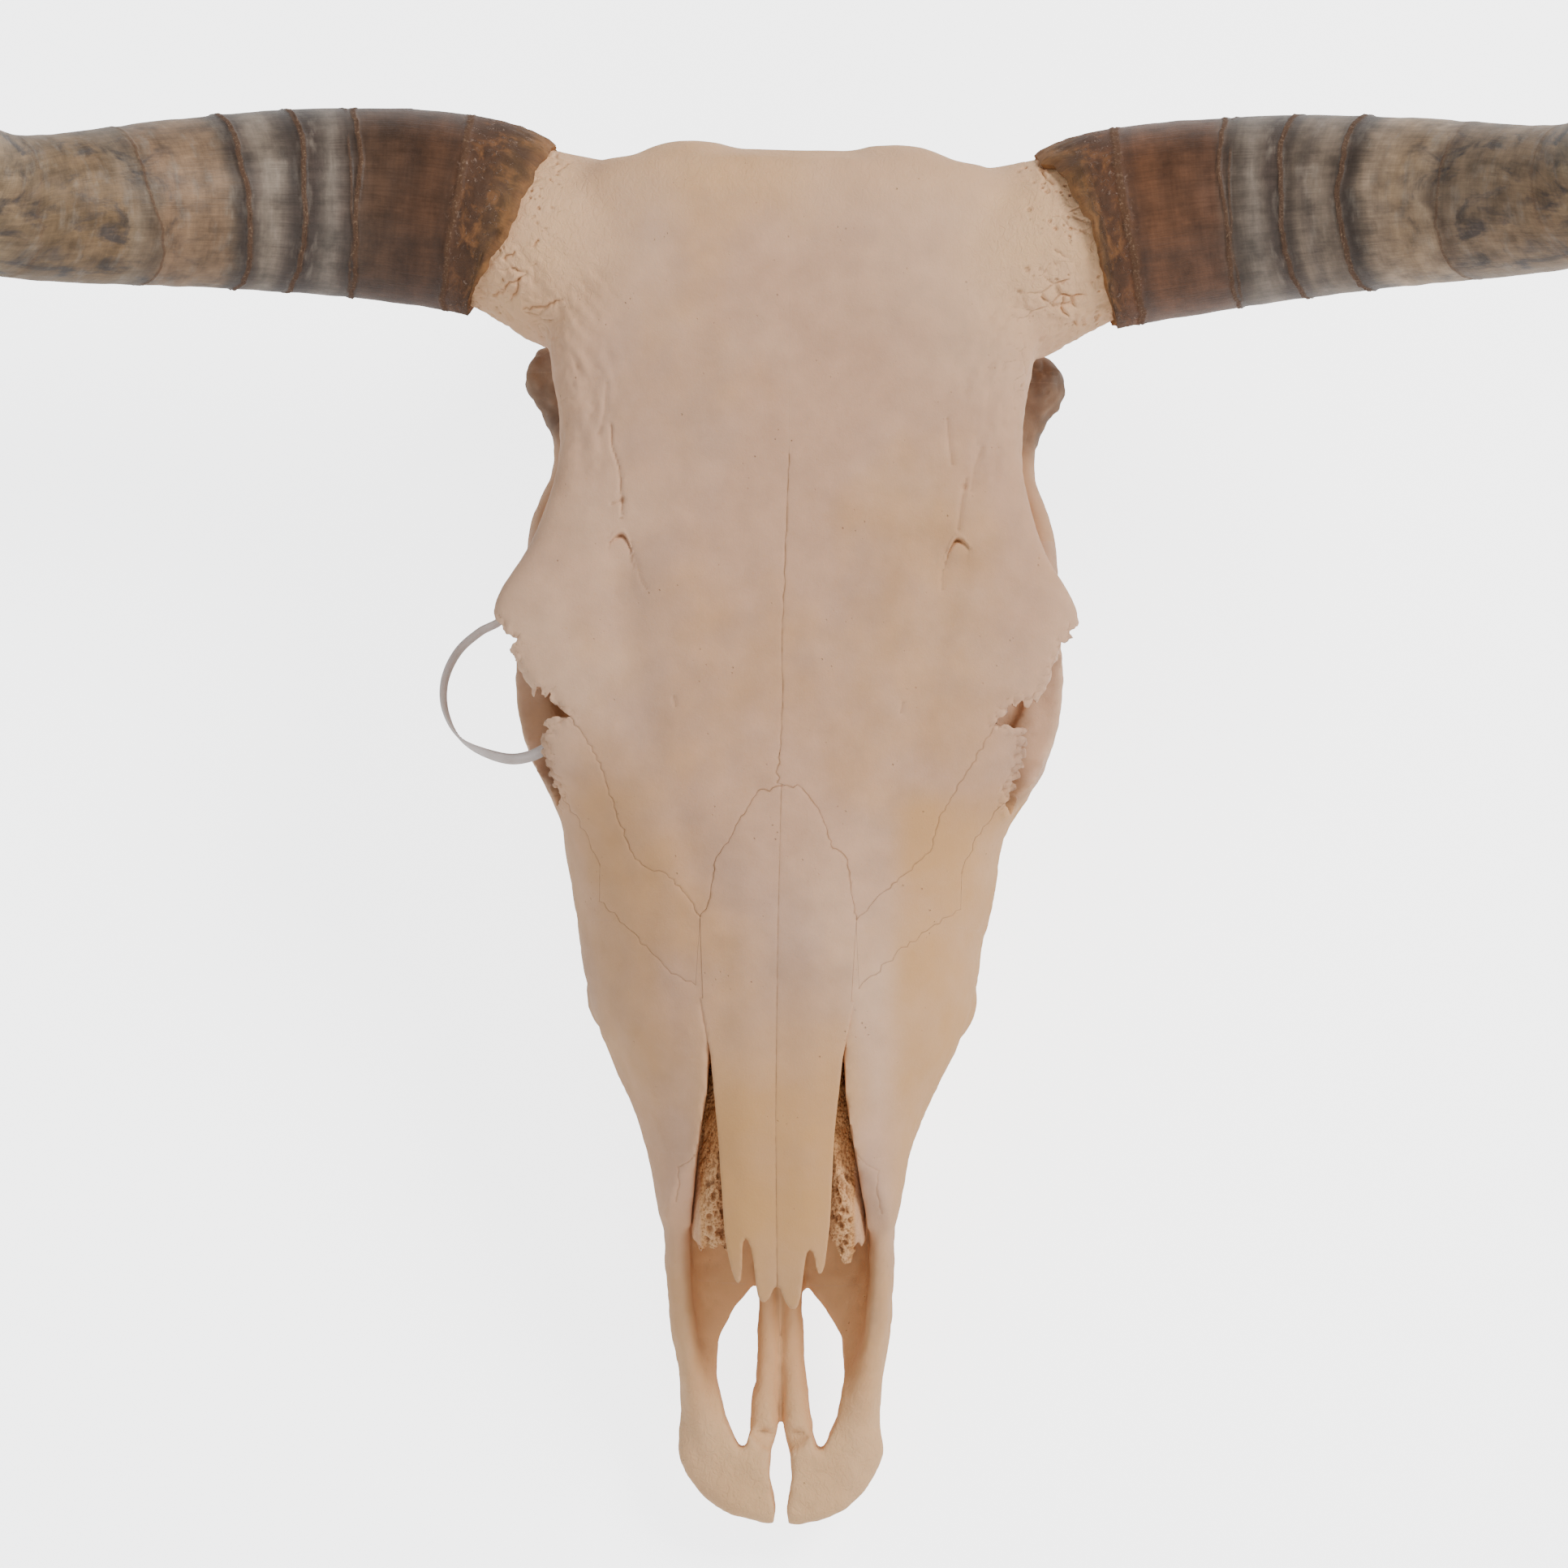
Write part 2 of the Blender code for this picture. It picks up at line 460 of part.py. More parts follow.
def fuse_head():
    """The head as one volume: shells, arches, rims and lumps, melted together."""
    form = bmesh.new()
    add_shell(form, ROOF[:ROOF_FUSED])
    add_shell(form, BRAINCASE)
    add_shell(form, PALATE_FRONT)
    for lump in (NAPE_BOSS, SKULL_BASE):
        add_lump(form, lump)
    for side in (1, -1):
        for course in (CHEEK_ARCH, EYE_RIM_REAR, EYE_RIM_LOW, HORN_CORE, NOSE_WALL, JUGULAR,
                       PTERYGOID, ALVEOLI):
            add_member(form, course, side)
        for lump in (CONDYLE_UPPER, CONDYLE_LOWER, MASTOID_LOBE, LOBE_CORNER, EAR_BULLA,
                     CHEEK_BOSS, EYE_FLOOR, POLL_BULGE):
            add_lump(form, lump, side)
    head = new_object("head", form)
    melt(head, SHELL_VOXEL, SHELL_SMOOTHING)
    return head


def melt(obj, voxel, passes):
    """One clean skin round everything that overlaps, its creases rounded."""
    remesh = obj.modifiers.new("fuse", "REMESH")
    remesh.mode = "VOXEL"
    remesh.voxel_size = voxel
    smooth = obj.modifiers.new("soften", "SMOOTH")
    smooth.factor = 0.5
    smooth.iterations = passes
    apply_modifiers(obj)


def thin_out(obj, faces):
    """Fewer triangles over the same form."""
    obj.data.calc_loop_triangles()
    thin = obj.modifiers.new("thin", "DECIMATE")
    thin.ratio = faces / len(obj.data.loop_triangles)
    apply_modifiers(obj)


def hollow_head(head):
    """Open the eye sockets, temples, nose, throat and the canal of the spine."""
    def cut(build, *args):
        combine(head, make("hollow", build, *args), "DIFFERENCE")

    cut(add_shell, NOSE_HOLLOW, 22, 28)
    cut(add_lump, SPINAL_CANAL)
    cut(add_lump, THROAT_HOLLOW)
    cut(add_lump, PALATE_VAULT)
    cut(add_prism, NOSE_OPENING + mirrored(NOSE_OPENING), -47.0, SKY)
    cut(add_prism, TIP_CLEFT + mirrored(TIP_CLEFT), GROUND, SKY)
    for side in (1, -1):
        cut(add_side_prism, NOSE_SLOPE, -2.0, REACH, side)
        cut(add_lump, EYE_SOCKET, side)
        cut(add_lump, EYE_NOTCH, side)
        cut(add_lump, TEMPLE_HOLLOW, side)
        cut(add_rim_plane, side)
        cut(add_prism, PALATE_FISSURE, GROUND, SKY, side)
        combine(head, make("bar", add_member, PALATINE_BAR, side, 8, 10), "UNION")
    melt(head, RIM_VOXEL, RIM_SMOOTHING)


def mirrored(outline):
    return tuple((-across, along) for across, along in reversed(outline))


def roof_height(across, along):
    """Level of the forehead and nose at a place seen from above."""
    table = np.array(ROOF)[::-1]
    row = [np.interp(along, table[:, 0], table[:, column]) for column in range(1, 6)]
    half_width, crown, widest, _, power = row
    share = min(abs(across) / half_width, 0.98) ** power
    return widest + (crown - widest) * (1.0 - share) ** (1.0 / power)


def add_roof_layer(form, lift_top, lift_bottom, count=15, columns=9):
    """A layer that follows the roof of the nose, between two offsets from its surface."""
    rings = []
    for along in np.linspace(8.0, -206.0, count):
        places = np.linspace(-36.0, 36.0, columns)
        top = [Vector((u, along, roof_height(u, along) + lift_top)) for u in places]
        low = [Vector((u, along, roof_height(u, along) + lift_bottom)) for u in places]
        rings.append(top + low[::-1])
    skin_rings(form, rings)


def nasal_outline():
    return NASAL_SEAM + NASAL_EDGE + NASAL_PRONGS


def make_nasal(head, side):
    """One nasal bone, and its seat opened in the head."""
    inner = tuple((max(across, BONE_GAP / 2), along) for across, along in nasal_outline())
    bone = make("nasal", add_roof_layer, 0.0, -NASAL_THICKNESS)
    combine(bone, make("outline", add_prism, inner, NASAL_FLOOR, SKY, side), "INTERSECT")
    seat = make("seat", add_roof_layer, 40.0, -NASAL_THICKNESS - BONE_GAP)
    grown = offset_outline(nasal_outline(), BONE_GAP)
    combine(seat, make("outline", add_prism, grown, NASAL_FLOOR, SKY, side), "INTERSECT")
    combine(head, seat, "DIFFERENCE")
    return bone


def horn_course(side):
    """Middle points, radii and headings along a sheath, as if it were the right one."""
    table = np.array(HORN_COURSE)
    steps = 240
    step = HORN_LENGTH / steps
    middle = Vector(HORN_ROOT)
    course = []
    for index in range(steps + 1):
        place = index * step
        heading, rise, radius = (
            np.interp(place, table[:, 0], table[:, column]) for column in (1, 2, 3)
        )
        lean = side * HORN_LEAN * min(1.0, place / LEAN_REACHED)
        a, b = math.radians(heading + lean), math.radians(rise)
        ahead = Vector((math.cos(a) * math.cos(b), math.sin(a) * math.cos(b), math.sin(b)))
        course.append((middle.copy(), ahead, radius))
        middle += ahead * step
    return course


def add_sheath(form, side):
    course = horn_course(side)
    rings = []
    for place in np.linspace(0, len(course) - 1, HORN_RINGS).astype(int):
        middle, ahead, radius = course[place]
        across = ahead.cross(Vector((0, 0, 1))).normalized()
        raised = across.cross(ahead)
        turns = [2 * math.pi * k / HORN_SIDES for k in range(HORN_SIDES)]
        ring = [middle + (across * math.cos(a) + raised * math.sin(a)) * radius for a in turns]
        rings.append([Vector((side * point.x, point.y, point.z)) for point in ring])
    skin_rings(form, rings)


def add_rim_plane(form, side):
    """A block beyond the sheath's rim, which trims the horn core square to it."""
    middle, ahead, _ = horn_course(side)[0]
    start = middle - ahead * BONE_GAP
    turn = ahead.to_track_quat("Z", "Y").to_matrix().to_4x4()
    place = Matrix.Translation(start) @ turn @ Matrix.Translation((0, 0, RIM_BLOCK_DEPTH / 2))
    flip = Matrix.Diagonal((side, 1.0, 1.0, 1.0))
    bmesh.ops.create_cone(form, cap_ends=True, segments=24, radius1=RIM_BLOCK_RADIUS,
                          radius2=RIM_BLOCK_RADIUS, depth=RIM_BLOCK_DEPTH, matrix=flip @ place)


def add_tooth(form, front, length, width, across, side):
    """One cheek tooth, from inside the jaw to below the floor, its corners rounded."""
    block = bmesh.ops.create_cube(form, size=1.0)["verts"]
    bmesh.ops.scale(form, verts=block, vec=(width, length, TOOTH_HEIGHT))
    corners = [
        edge for edge in {e for v in block for e in v.link_edges}
        if abs(edge.verts[0].co.z - edge.verts[1].co.z) > 1.0
    ]
    bevel = bmesh.ops.bevel(form, geom=corners, segments=1, profile=0.5,
                            offset=TOOTH_ROUNDING * min(width, length), affect="EDGES", material=-1)
    verts = list({v for f in bevel["faces"] for v in f.verts})
    middle = front + length / 2
    floor = -(REST_DROP + middle * math.sin(math.radians(TILT_DEG)))
    centre = floor - TOOTH_BELOW + TOOTH_HEIGHT / 2
    bmesh.ops.translate(form, verts=verts, vec=(side * across, middle, centre))


def make_turbinate(name, side):
    """Spongy bone at the side of the nose, trimmed to the hollow that it stands in."""
    room = []
    for along, half_width, roof, widest, floor, *rest in NOSE_HOLLOW:
        room.append((along, half_width - TURBINATE_GAP, roof - TURBINATE_GAP, widest,
                     floor + TURBINATE_GAP, *rest))
    bone = make(name, add_member, TURBINATE, side, 9, 10)
    combine(bone, make("room", add_shell, room, 16, 20), "INTERSECT")
    return bone


def make_teeth(side):
    teeth = []
    front = TOOTH_ROW_FRONT
    for length, width, across in CHEEK_TEETH:
        teeth.append(make("tooth", add_tooth, front, length - TOOTH_GAP, width, across, side))
        front += length
    return teeth


def add_tie(form):
    """A flat band swept round its loop, rolled over as it goes."""
    loop = [Vector((across, along, TIE_LEVEL)) for across, along, _ in TIE_LOOP]
    count = len(loop)
    rings = []
    for index, point in enumerate(loop):
        ahead = (loop[(index + 1) % count] - loop[index - 1]).normalized()
        outwards, upwards = Vector((ahead.y, -ahead.x, 0.0)), Vector((0.0, 0.0, 1.0))
        roll = math.radians(TIE_LOOP[index][2])
        wide = (upwards * math.cos(roll) + outwards * math.sin(roll)) * TIE_WIDTH / 2
        thick = (outwards * math.cos(roll) - upwards * math.sin(roll)) * TIE_THICKNESS / 2
        rings.append([point + thick + wide, point + thick - wide, point - thick - wide,
                      point - thick + wide])
    verts = [[form.verts.new(point) for point in ring] for ring in rings]
    for index in range(count):
        near, far = verts[index - 1], verts[index]
        for k in range(4):
            form.faces.new((near[k], near[(k + 1) % 4], far[(k + 1) % 4], far[k]))


def take(head, name, regions):
    """Part a bone from the head where its regions lie, leaving an open seam round it."""
    bone = head.copy()
    bone.data = head.data.copy()
    bone.name = name
    bpy.context.collection.objects.link(bone)
    combine(bone, join_regions(regions, 0.0), "INTERSECT")
    combine(head, join_regions(regions, BONE_GAP), "DIFFERENCE")
    keep_largest(bone)
    keep_largest(head)
    return bone


def join_regions(regions, gap):
    joined = None
    for build, outline, low, high, side in regions:
        grown = offset_outline(outline, gap)
        block = make("region", build, grown, low - gap, high + gap, side)
        if joined is None:
            joined = block
        else:
            combine(joined, block, "UNION")
    return joined


def keep_largest(obj):
    """Drop crumbs that a cut leaves beside the main body."""
    form = bmesh.new()
    form.from_mesh(obj.data)
    left = set(form.verts)
    islands = []
    while left:
        island = {left.pop()}
        front = list(island)
        while front:
            vert = front.pop()
            for edge in vert.link_edges:
                other = edge.other_vert(vert)
                if other in left:
                    left.discard(other)
                    island.add(other)
                    front.append(other)
        islands.append(island)
    islands.sort(key=len)
    crumbs = [vert for island in islands[:-1] for vert in island]
    bmesh.ops.delete(form, geom=crumbs, context="VERTS")
    form.to_mesh(obj.data)
    form.free()


def frontal_regions(side):
    middle = near_limit(side)
    brow = [(middle, BEYOND_POLL), (middle, 0.0)]
    brow += list(NASAL_SEAM[1:]) + list(EYE_TO_NOSE_SEAM[::-1])[1:]
    brow += [(BEYOND_BROW, 24.0), (BEYOND_BROW, BEYOND_POLL)]
    return [(add_prism, brow, BROW_FLOOR, SKY, side),
            (add_prism, HORN_ROOT_AREA, ROOT_FLOOR, ROOT_TOP, side)]


def near_limit(side):
    """Where a bone begins at the middle of the head; the left ones, cut last, may start past it."""
    return BONE_GAP / 2 if side > 0 else -2.0


def lacrimal_regions(side):
    outline = list(EYE_TO_NOSE_SEAM) + list(TEAR_TO_JAW_SEAM) + list(TEAR_TO_CHEEK_SEAM)
    return [(add_prism, outline + list(TEAR_OUTER_CORNERS), TEAR_FLOOR, SKY, side)]


def main():
    clear_scene()
    head = fuse_head()
    hollow_head(head)
    keep_largest(head)
    thin_out(head, SHELL_FACES)
    bones = []
    for side, word in ((1, "right"), (-1, "left")):
        nasal = make_nasal(head, side)
        nasal.name = f"nasal_bone_{word}"
        bones.append(nasal)
    for side, word in ((1, "right"), (-1, "left")):
        bones.append(take(head, f"premaxilla_{word}",
                          [(add_side_prism, PREMAXILLA_SIDE, near_limit(side), REACH, side)]))
        bones.append(take(head, f"frontal_bone_{word}", frontal_regions(side)))
        bones.append(take(head, f"lacrimal_bone_{word}", lacrimal_regions(side)))
        bones.append(take(head, f"cheekbone_{word}",
                          [(add_side_prism, CHEEK_SIDE, CHEEK_INNER, REACH, side)]))
        jaw = take(head, f"upper_jaw_{word}",
                   [(add_side_prism, JAW_SIDE, near_limit(side), REACH, side)])
        for tooth in make_teeth(side):
            combine(jaw, tooth, "UNION")
        bones.append(jaw)
        bones.append(make(f"horn_{word}", add_sheath, side))
        bones.append(make_turbinate(f"turbinate_{word}", side))
    bones.append(make("cable_tie", add_tie))
    head.name = "braincase"
    bones.append(head)
    for bone in bones:
        if bone.name.startswith(("upper_jaw", "braincase")):
            trim_at_floor(bone)
        settle(bone)
        finish(bone)


def finish(bone):
    """Give the piece its own material and smooth shading."""
    colour, roughness = FINISHES.get(bone.name.split("_")[0], BONE)
    material = bpy.data.materials.new(f"{bone.name}_finish")
    material.use_nodes = True
    shader = material.node_tree.nodes["Principled BSDF"]
    shader.inputs["Base Color"].default_value = (*colour, 1.0)
    shader.inputs["Roughness"].default_value = roughness
    shader.inputs["Metallic"].default_value = 0.0
    bone.data.materials.clear()
    bone.data.materials.append(material)
    bone.data.shade_smooth()
    bone.data.set_sharp_from_angle(angle=math.radians(CREASE_DEG))


def settle(bone):
    """Bend the piece with the crooked head, then move it into the room."""
    form = bmesh.new()
    form.from_mesh(bone.data)
    if not bone.name.startswith("horn"):
        for along in DRIFT_ALONG[1:-1]:
            bmesh.ops.bisect_plane(form, geom=form.verts[:] + form.edges[:] + form.faces[:],
                                   dist=0.0001, plane_co=(0.0, along, 0.0), plane_no=(0.0, 1.0, 0.0))
    for vert in form.verts:
        vert.co.x += np.interp(vert.co.y, DRIFT_ALONG, DRIFT_ACROSS)
    form.to_mesh(bone.data)
    form.free()
    bone.data.transform(TO_ROOM)


def trim_at_floor(bone):
    """Flat feet where the skull stands: nothing reaches below the floor."""
    form = bmesh.new()
    place = TO_ROOM.inverted() @ Matrix.Translation((0.0, 0.0, -0.05))
    bmesh.ops.create_cube(form, size=0.1, matrix=place @ Matrix.Diagonal((10.0, 10.0, 1.0, 1.0)))
    combine(bone, new_object("floor", form), "DIFFERENCE")


main()
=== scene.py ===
import math

import bmesh
import bpy
import numpy as np
from mathutils import Matrix, Vector


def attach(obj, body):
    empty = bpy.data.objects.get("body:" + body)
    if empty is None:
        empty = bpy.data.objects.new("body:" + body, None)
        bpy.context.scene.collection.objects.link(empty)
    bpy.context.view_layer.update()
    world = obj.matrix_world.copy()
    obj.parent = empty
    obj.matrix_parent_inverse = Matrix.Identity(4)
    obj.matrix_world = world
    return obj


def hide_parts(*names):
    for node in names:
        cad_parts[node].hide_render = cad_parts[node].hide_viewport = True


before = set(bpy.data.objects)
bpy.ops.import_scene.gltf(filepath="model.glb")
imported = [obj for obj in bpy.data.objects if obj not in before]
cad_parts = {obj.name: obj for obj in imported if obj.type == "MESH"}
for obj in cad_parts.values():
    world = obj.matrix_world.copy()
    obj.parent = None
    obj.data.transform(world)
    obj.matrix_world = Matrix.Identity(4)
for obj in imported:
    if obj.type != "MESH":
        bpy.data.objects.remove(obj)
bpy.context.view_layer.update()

# Bull skull with its horn sheaths, lying face up on its cheek teeth. The bones are shaped in the
# skull's own frame in millimetres: x across, y along the face to the poll, z out of the forehead.
mm = 0.001
skull = {
    "tiltDeg": 12.0,            # slope of the forehead at rest
    "drop": 157.3,              # forehead's origin above the floor
    "shift": (8.2, -66.9),      # middle of the skull over the room's origin
    "drift": ((-292.0, 5.6), (-130.0, 1.3), (-60.0, 0.6), (120.0, 1.1), (210.0, -0.2)),
    "seamGap": 0.08,            # open seam between bones
    "closedGap": 0.02,          # join that has grown together
    "voxel": 2.0,               # grid that melts the head's volumes together
    "softening": 18,
    "fineVoxel": 1.5,           # grid of the finished surface
    "fineSoftening": 3,
}
toRoom = (
    Matrix.Translation((skull["shift"][0] * mm, skull["shift"][1] * mm, skull["drop"] * mm))
    @ Matrix.Rotation(math.radians(skull["tiltDeg"]), 4, "X")
    @ Matrix.Scale(mm, 4)
)
sky, ground, reach = 40.0, -230.0, 140.0     # beyond everything that a column cuts
bothSides = ((1, "right"), (-1, "left"))


# How meshes are made, joined and read

def newPiece(name, form):
    mesh = bpy.data.meshes.new(name)
    bmesh.ops.recalc_face_normals(form, faces=form.faces)
    form.to_mesh(mesh)
    form.free()
    piece = bpy.data.objects.new(name, mesh)
    bpy.context.scene.collection.objects.link(piece)
    return piece


def shape(name, build, *args):
    form = bmesh.new()
    build(form, *args)
    return newPiece(name, form)


def applyModifiers(piece):
    graph = bpy.context.evaluated_depsgraph_get()
    mesh = bpy.data.meshes.new_from_object(piece.evaluated_get(graph))
    piece.modifiers.clear()
    piece.data = mesh


def carve(piece, tool, operation="DIFFERENCE", solver="MANIFOLD"):
    cut = piece.modifiers.new("carve", "BOOLEAN")
    cut.operation = operation
    cut.solver = solver
    cut.object = tool
    applyModifiers(piece)
    bpy.data.objects.remove(tool, do_unlink=True)


def melt(piece, voxel, passes):                 # one closed skin round all that overlaps
    fuse = piece.modifiers.new("fuse", "REMESH")
    fuse.mode = "VOXEL"
    fuse.voxel_size = voxel
    soften = piece.modifiers.new("soften", "SMOOTH")
    soften.factor = 0.5
    soften.iterations = passes
    applyModifiers(piece)


def keepLargest(piece):                         # drops crumbs that a cut leaves
    form = bmesh.new()
    form.from_mesh(piece.data)
    left = set(form.verts)
    islands = []
    while left:
        island = {left.pop()}
        front = list(island)
        while front:
            for edge in front.pop().link_edges:
                for vert in edge.verts:
                    if vert in left:
                        left.discard(vert)
                        island.add(vert)
                        front.append(vert)
        islands.append(island)
    islands.sort(key=len)
    crumbs = [vert for island in islands[:-1] for vert in island]
    bmesh.ops.delete(form, geom=crumbs, context="VERTS")
    form.to_mesh(piece.data)
    form.free()


def readPoints(piece):
    count = len(piece.data.vertices)
    points, normals = np.empty(count * 3), np.empty(count * 3)
    piece.data.vertices.foreach_get("co", points)
    piece.data.vertices.foreach_get("normal", normals)
    return points.reshape(-1, 3), normals.reshape(-1, 3)


def movePoints(piece, points):
    piece.data.vertices.foreach_set("co", points.ravel())
    piece.data.update()


def storeMask(piece, name, values):
    mask = piece.data.attributes.new(name, "FLOAT", "POINT")
    mask.data.foreach_set("value", np.ascontiguousarray(values, dtype=np.float32))


# Smooth random fields, the same on each run

beyond = 9.0                                    # stands for any greater distance


def chanceAt(cells, seed):
    key = (cells[:, 0] * 73856093) ^ (cells[:, 1] * 19349663) ^ (cells[:, 2] * 83492791)
    key = (key ^ (seed * 26544357)) & 0xFFFFFFFF
    key = ((key ^ (key >> 13)) * 1274126177) & 0xFFFFFFFF
    key = ((key ^ (key >> 15)) * 668265263) & 0xFFFFFFFF
    return ((key >> 9) & 0xFFFF) / 32767.5 - 1.0


def waviness(points, size, seed):               # -1 to 1, in lumps of the given size
    cells = points / size
    base = np.floor(cells).astype(np.int64)
    t = cells - base
    t = t * t * (3.0 - 2.0 * t)
    total = np.zeros(len(points))
    for corner in range(8):
        step = np.array([(corner >> k) & 1 for k in range(3)])
        total += np.prod(np.where(step, t, 1.0 - t), axis=1) * chanceAt(base + step, seed)
    return total


def waves(points, *layers):                     # sum of layers: height, size, seed
    return sum(height * waviness(points, size, seed) for height, size, seed in layers)


def cellGaps(points, size, seed):               # to the two nearest scattered points, in cells
    scatter = 0.42
    cells = points / size
    base = np.floor(cells).astype(np.int64)
    nearest, second = np.full(len(points), beyond), np.full(len(points), beyond)
    for corner in range(27):
        cell = base + np.array([corner % 3 - 1, corner // 3 % 3 - 1, corner // 9 - 1])
        middle = [cell[:, k] + 0.5 + scatter * chanceAt(cell, seed + k) for k in range(3)]
        away = np.linalg.norm(cells - np.stack(middle, axis=1), axis=1)
        second = np.minimum(second, np.maximum(away, nearest))
        nearest = np.minimum(nearest, away)
    return nearest, second


def cellDistance(points, size, seed):
    return cellGaps(points, size, seed)[0]


def crackLines(points, size, seed):             # 1 along the edges between scattered cells
    nearest, second = cellGaps(points, size, seed)
    return fade(nearest - second, -0.2, -0.02)


def fade(values, low, high):
    t = np.clip((values - low) / (high - low), 0.0, 1.0)
    return t * t * (3.0 - 2.0 * t)


def hump(values, width):                        # 1 at zero, falling off on both sides
    return np.exp(-(values / width) ** 2)


def lineDistance(points, line, limit=20.0):     # seen from above, as far as the limit
    ends, spots = np.array(line), points[:, :2]
    close = np.all((spots > ends.min(axis=0) - limit) & (spots < ends.max(axis=0) + limit), axis=1)
    spots = spots[close]
    least = np.full(len(spots), limit)
    for a, b in zip(ends, ends[1:]):
        run = b - a
        t = np.clip((spots - a) @ run / max(run @ run, 1e-9), 0.0, 1.0)
        least = np.minimum(least, np.linalg.norm(spots - a - t[:, None] * run, axis=1))
    nearest = np.full(len(points), limit)
    nearest[close] = least
    return nearest


def jagged(line, step, swing, seed):            # a seam's course with small teeth
    rng = np.random.default_rng(seed)
    walked = [Vector(line[0])]
    for start, end in zip(line, line[1:]):
        a, b = Vector(start), Vector(end)
        run = b - a
        count = max(1, round(run.length / step))
        aside = Vector((-run.y, run.x)).normalized()
        for k in range(1, count + 1):
            lean = 0.0 if k == count else swing * rng.uniform(-1.0, 1.0)
            walked.append(a + run * (k / count) + aside * lean)
    return tuple((point.x, point.y) for point in walked)


# How rings, shells, columns and lumps are made

def smoothRows(rows, places, at):
    table = np.array(rows, dtype=float)
    slopes = np.gradient(table, places, axis=0)
    low = np.clip(np.searchsorted(places, at, side="right") - 1, 0, len(places) - 2)
    span = (places[low + 1] - places[low])[:, None]
    t = (at[:, None] - places[low][:, None]) / span
    return (
        (2 * t**3 - 3 * t**2 + 1) * table[low]
        + (t**3 - 2 * t**2 + t) * span * slopes[low]
        + (3 * t**2 - 2 * t**3) * table[low + 1]
        + (t**3 - t**2) * span * slopes[low + 1]
    )


def smoothCourse(rows, count):
    steps = np.linalg.norm(np.diff(np.array(rows)[:, :3], axis=0), axis=1)
    places = np.concatenate(([0.0], np.cumsum(steps)))
    return smoothRows(rows, places, np.linspace(0.0, places[-1], count))


def skinRings(form, rings, closed=False):
    loops = []
    for ring in rings:
        verts = [form.verts.new(point) for point in ring]
        loops.append([form.edges.new((a, b)) for a, b in zip(verts, verts[1:] + verts[:1])])
    for near, far in zip(loops, loops[1:] + loops[:1] if closed else loops[1:]):
        bmesh.ops.bridge_loops(form, edges=near + far)
    for end in () if closed else (loops[0], loops[-1]):
        bmesh.ops.contextual_create(form, geom=end)


def sectionRing(row, sides):
    along, halfWidth, crown, widest, keel, powerUp, powerDown, keelWidth = row
    ring = []
    for index in range(sides):
        angle = 2 * math.pi * (index + 0.5) / sides
        c, s = math.cos(angle), math.sin(angle)
        power = powerUp if s > 0 else powerDown
        height = crown - widest if s > 0 else widest - keel
        narrowing = 1.0 if s > 0 else 1.0 - (1.0 - keelWidth) * abs(s) ** 1.5
        across = math.copysign(abs(c) ** (2 / power), c) * halfWidth * narrowing
        ring.append((across, along, widest + math.copysign(abs(s) ** (2 / power), s) * height))
    return ring


def addShell(form, rows, count=90, sides=80):
    table = np.array(rows, dtype=float)[::-1]
    at = np.linspace(table[-1, 0], table[0, 0], count)
    skinRings(form, [sectionRing(row, sides) for row in smoothRows(table, table[:, 0], at)])


def addMember(form, rows, side=1, count=26, sides=20):
    course = smoothCourse(rows, count)
    middles = [Vector((side * row[0], row[1], row[2])) for row in course]
    rings = []
    for index, middle in enumerate(middles):
        ahead = (middles[min(index + 1, count - 1)] - middles[max(index - 1, 0)]).normalized()
        upright = Vector((0, 0, 1)) if abs(ahead.z) < 0.8 else Vector((0, 1, 0))
        across = ahead.cross(upright).normalized()
        raised = across.cross(ahead).normalized()
        wide, tall = course[index][3], course[index][4]
        turns = [2 * math.pi * k / sides for k in range(sides)]
        rings.append([middle + across * wide * math.cos(a) + raised * tall * math.sin(a)
                      for a in turns])
    skinRings(form, rings)


def addLump(form, lump, side=1):
    (across, along, height), radii = lump
    place = Matrix.Translation((side * across, along, height)) @ Matrix.Diagonal((*radii, 1.0))
    bmesh.ops.create_icosphere(form, subdivisions=4, radius=1.0, matrix=place)


def addPrism(form, spots, way):
    base = form.faces.new([form.verts.new(spot) for spot in spots])
    raised = bmesh.ops.extrude_face_region(form, geom=[base])["geom"]
    tops = [item for item in raised if isinstance(item, bmesh.types.BMVert)]
    bmesh.ops.translate(form, verts=tops, vec=way)


def addColumn(form, outline, low, high, side=1):            # over an outline seen from above
    addPrism(form, [(side * u, v, low) for u, v in outline], (0, 0, high - low))


def addSideColumn(form, outline, inner, outer, side=1):     # over an outline seen from the side
    addPrism(form, [(side * inner, v, w) for v, w in outline], (side * (outer - inner), 0, 0))


def growOutline(outline, gap):
    points = [Vector(point) for point in outline]
    count = len(points)
    area = sum(points[i].cross(points[(i + 1) % count]) for i in range(count))
    turn = 1.0 if area > 0 else -1.0
    grown = []
    for i, point in enumerate(points):
        before = (point - points[i - 1]).normalized()
        after = (points[(i + 1) % count] - point).normalized()
        normals = [Vector((edge.y, -edge.x)) * turn for edge in (before, after)]
        middle = (normals[0] + normals[1]).normalized()
        spike = max(0.4, middle.dot(normals[0]))        # sharp corners are kept short
        grown.append(point + middle * gap / spike)
    return grown


def mirrored(outline):
    return tuple((-across, along) for across, along in reversed(outline))


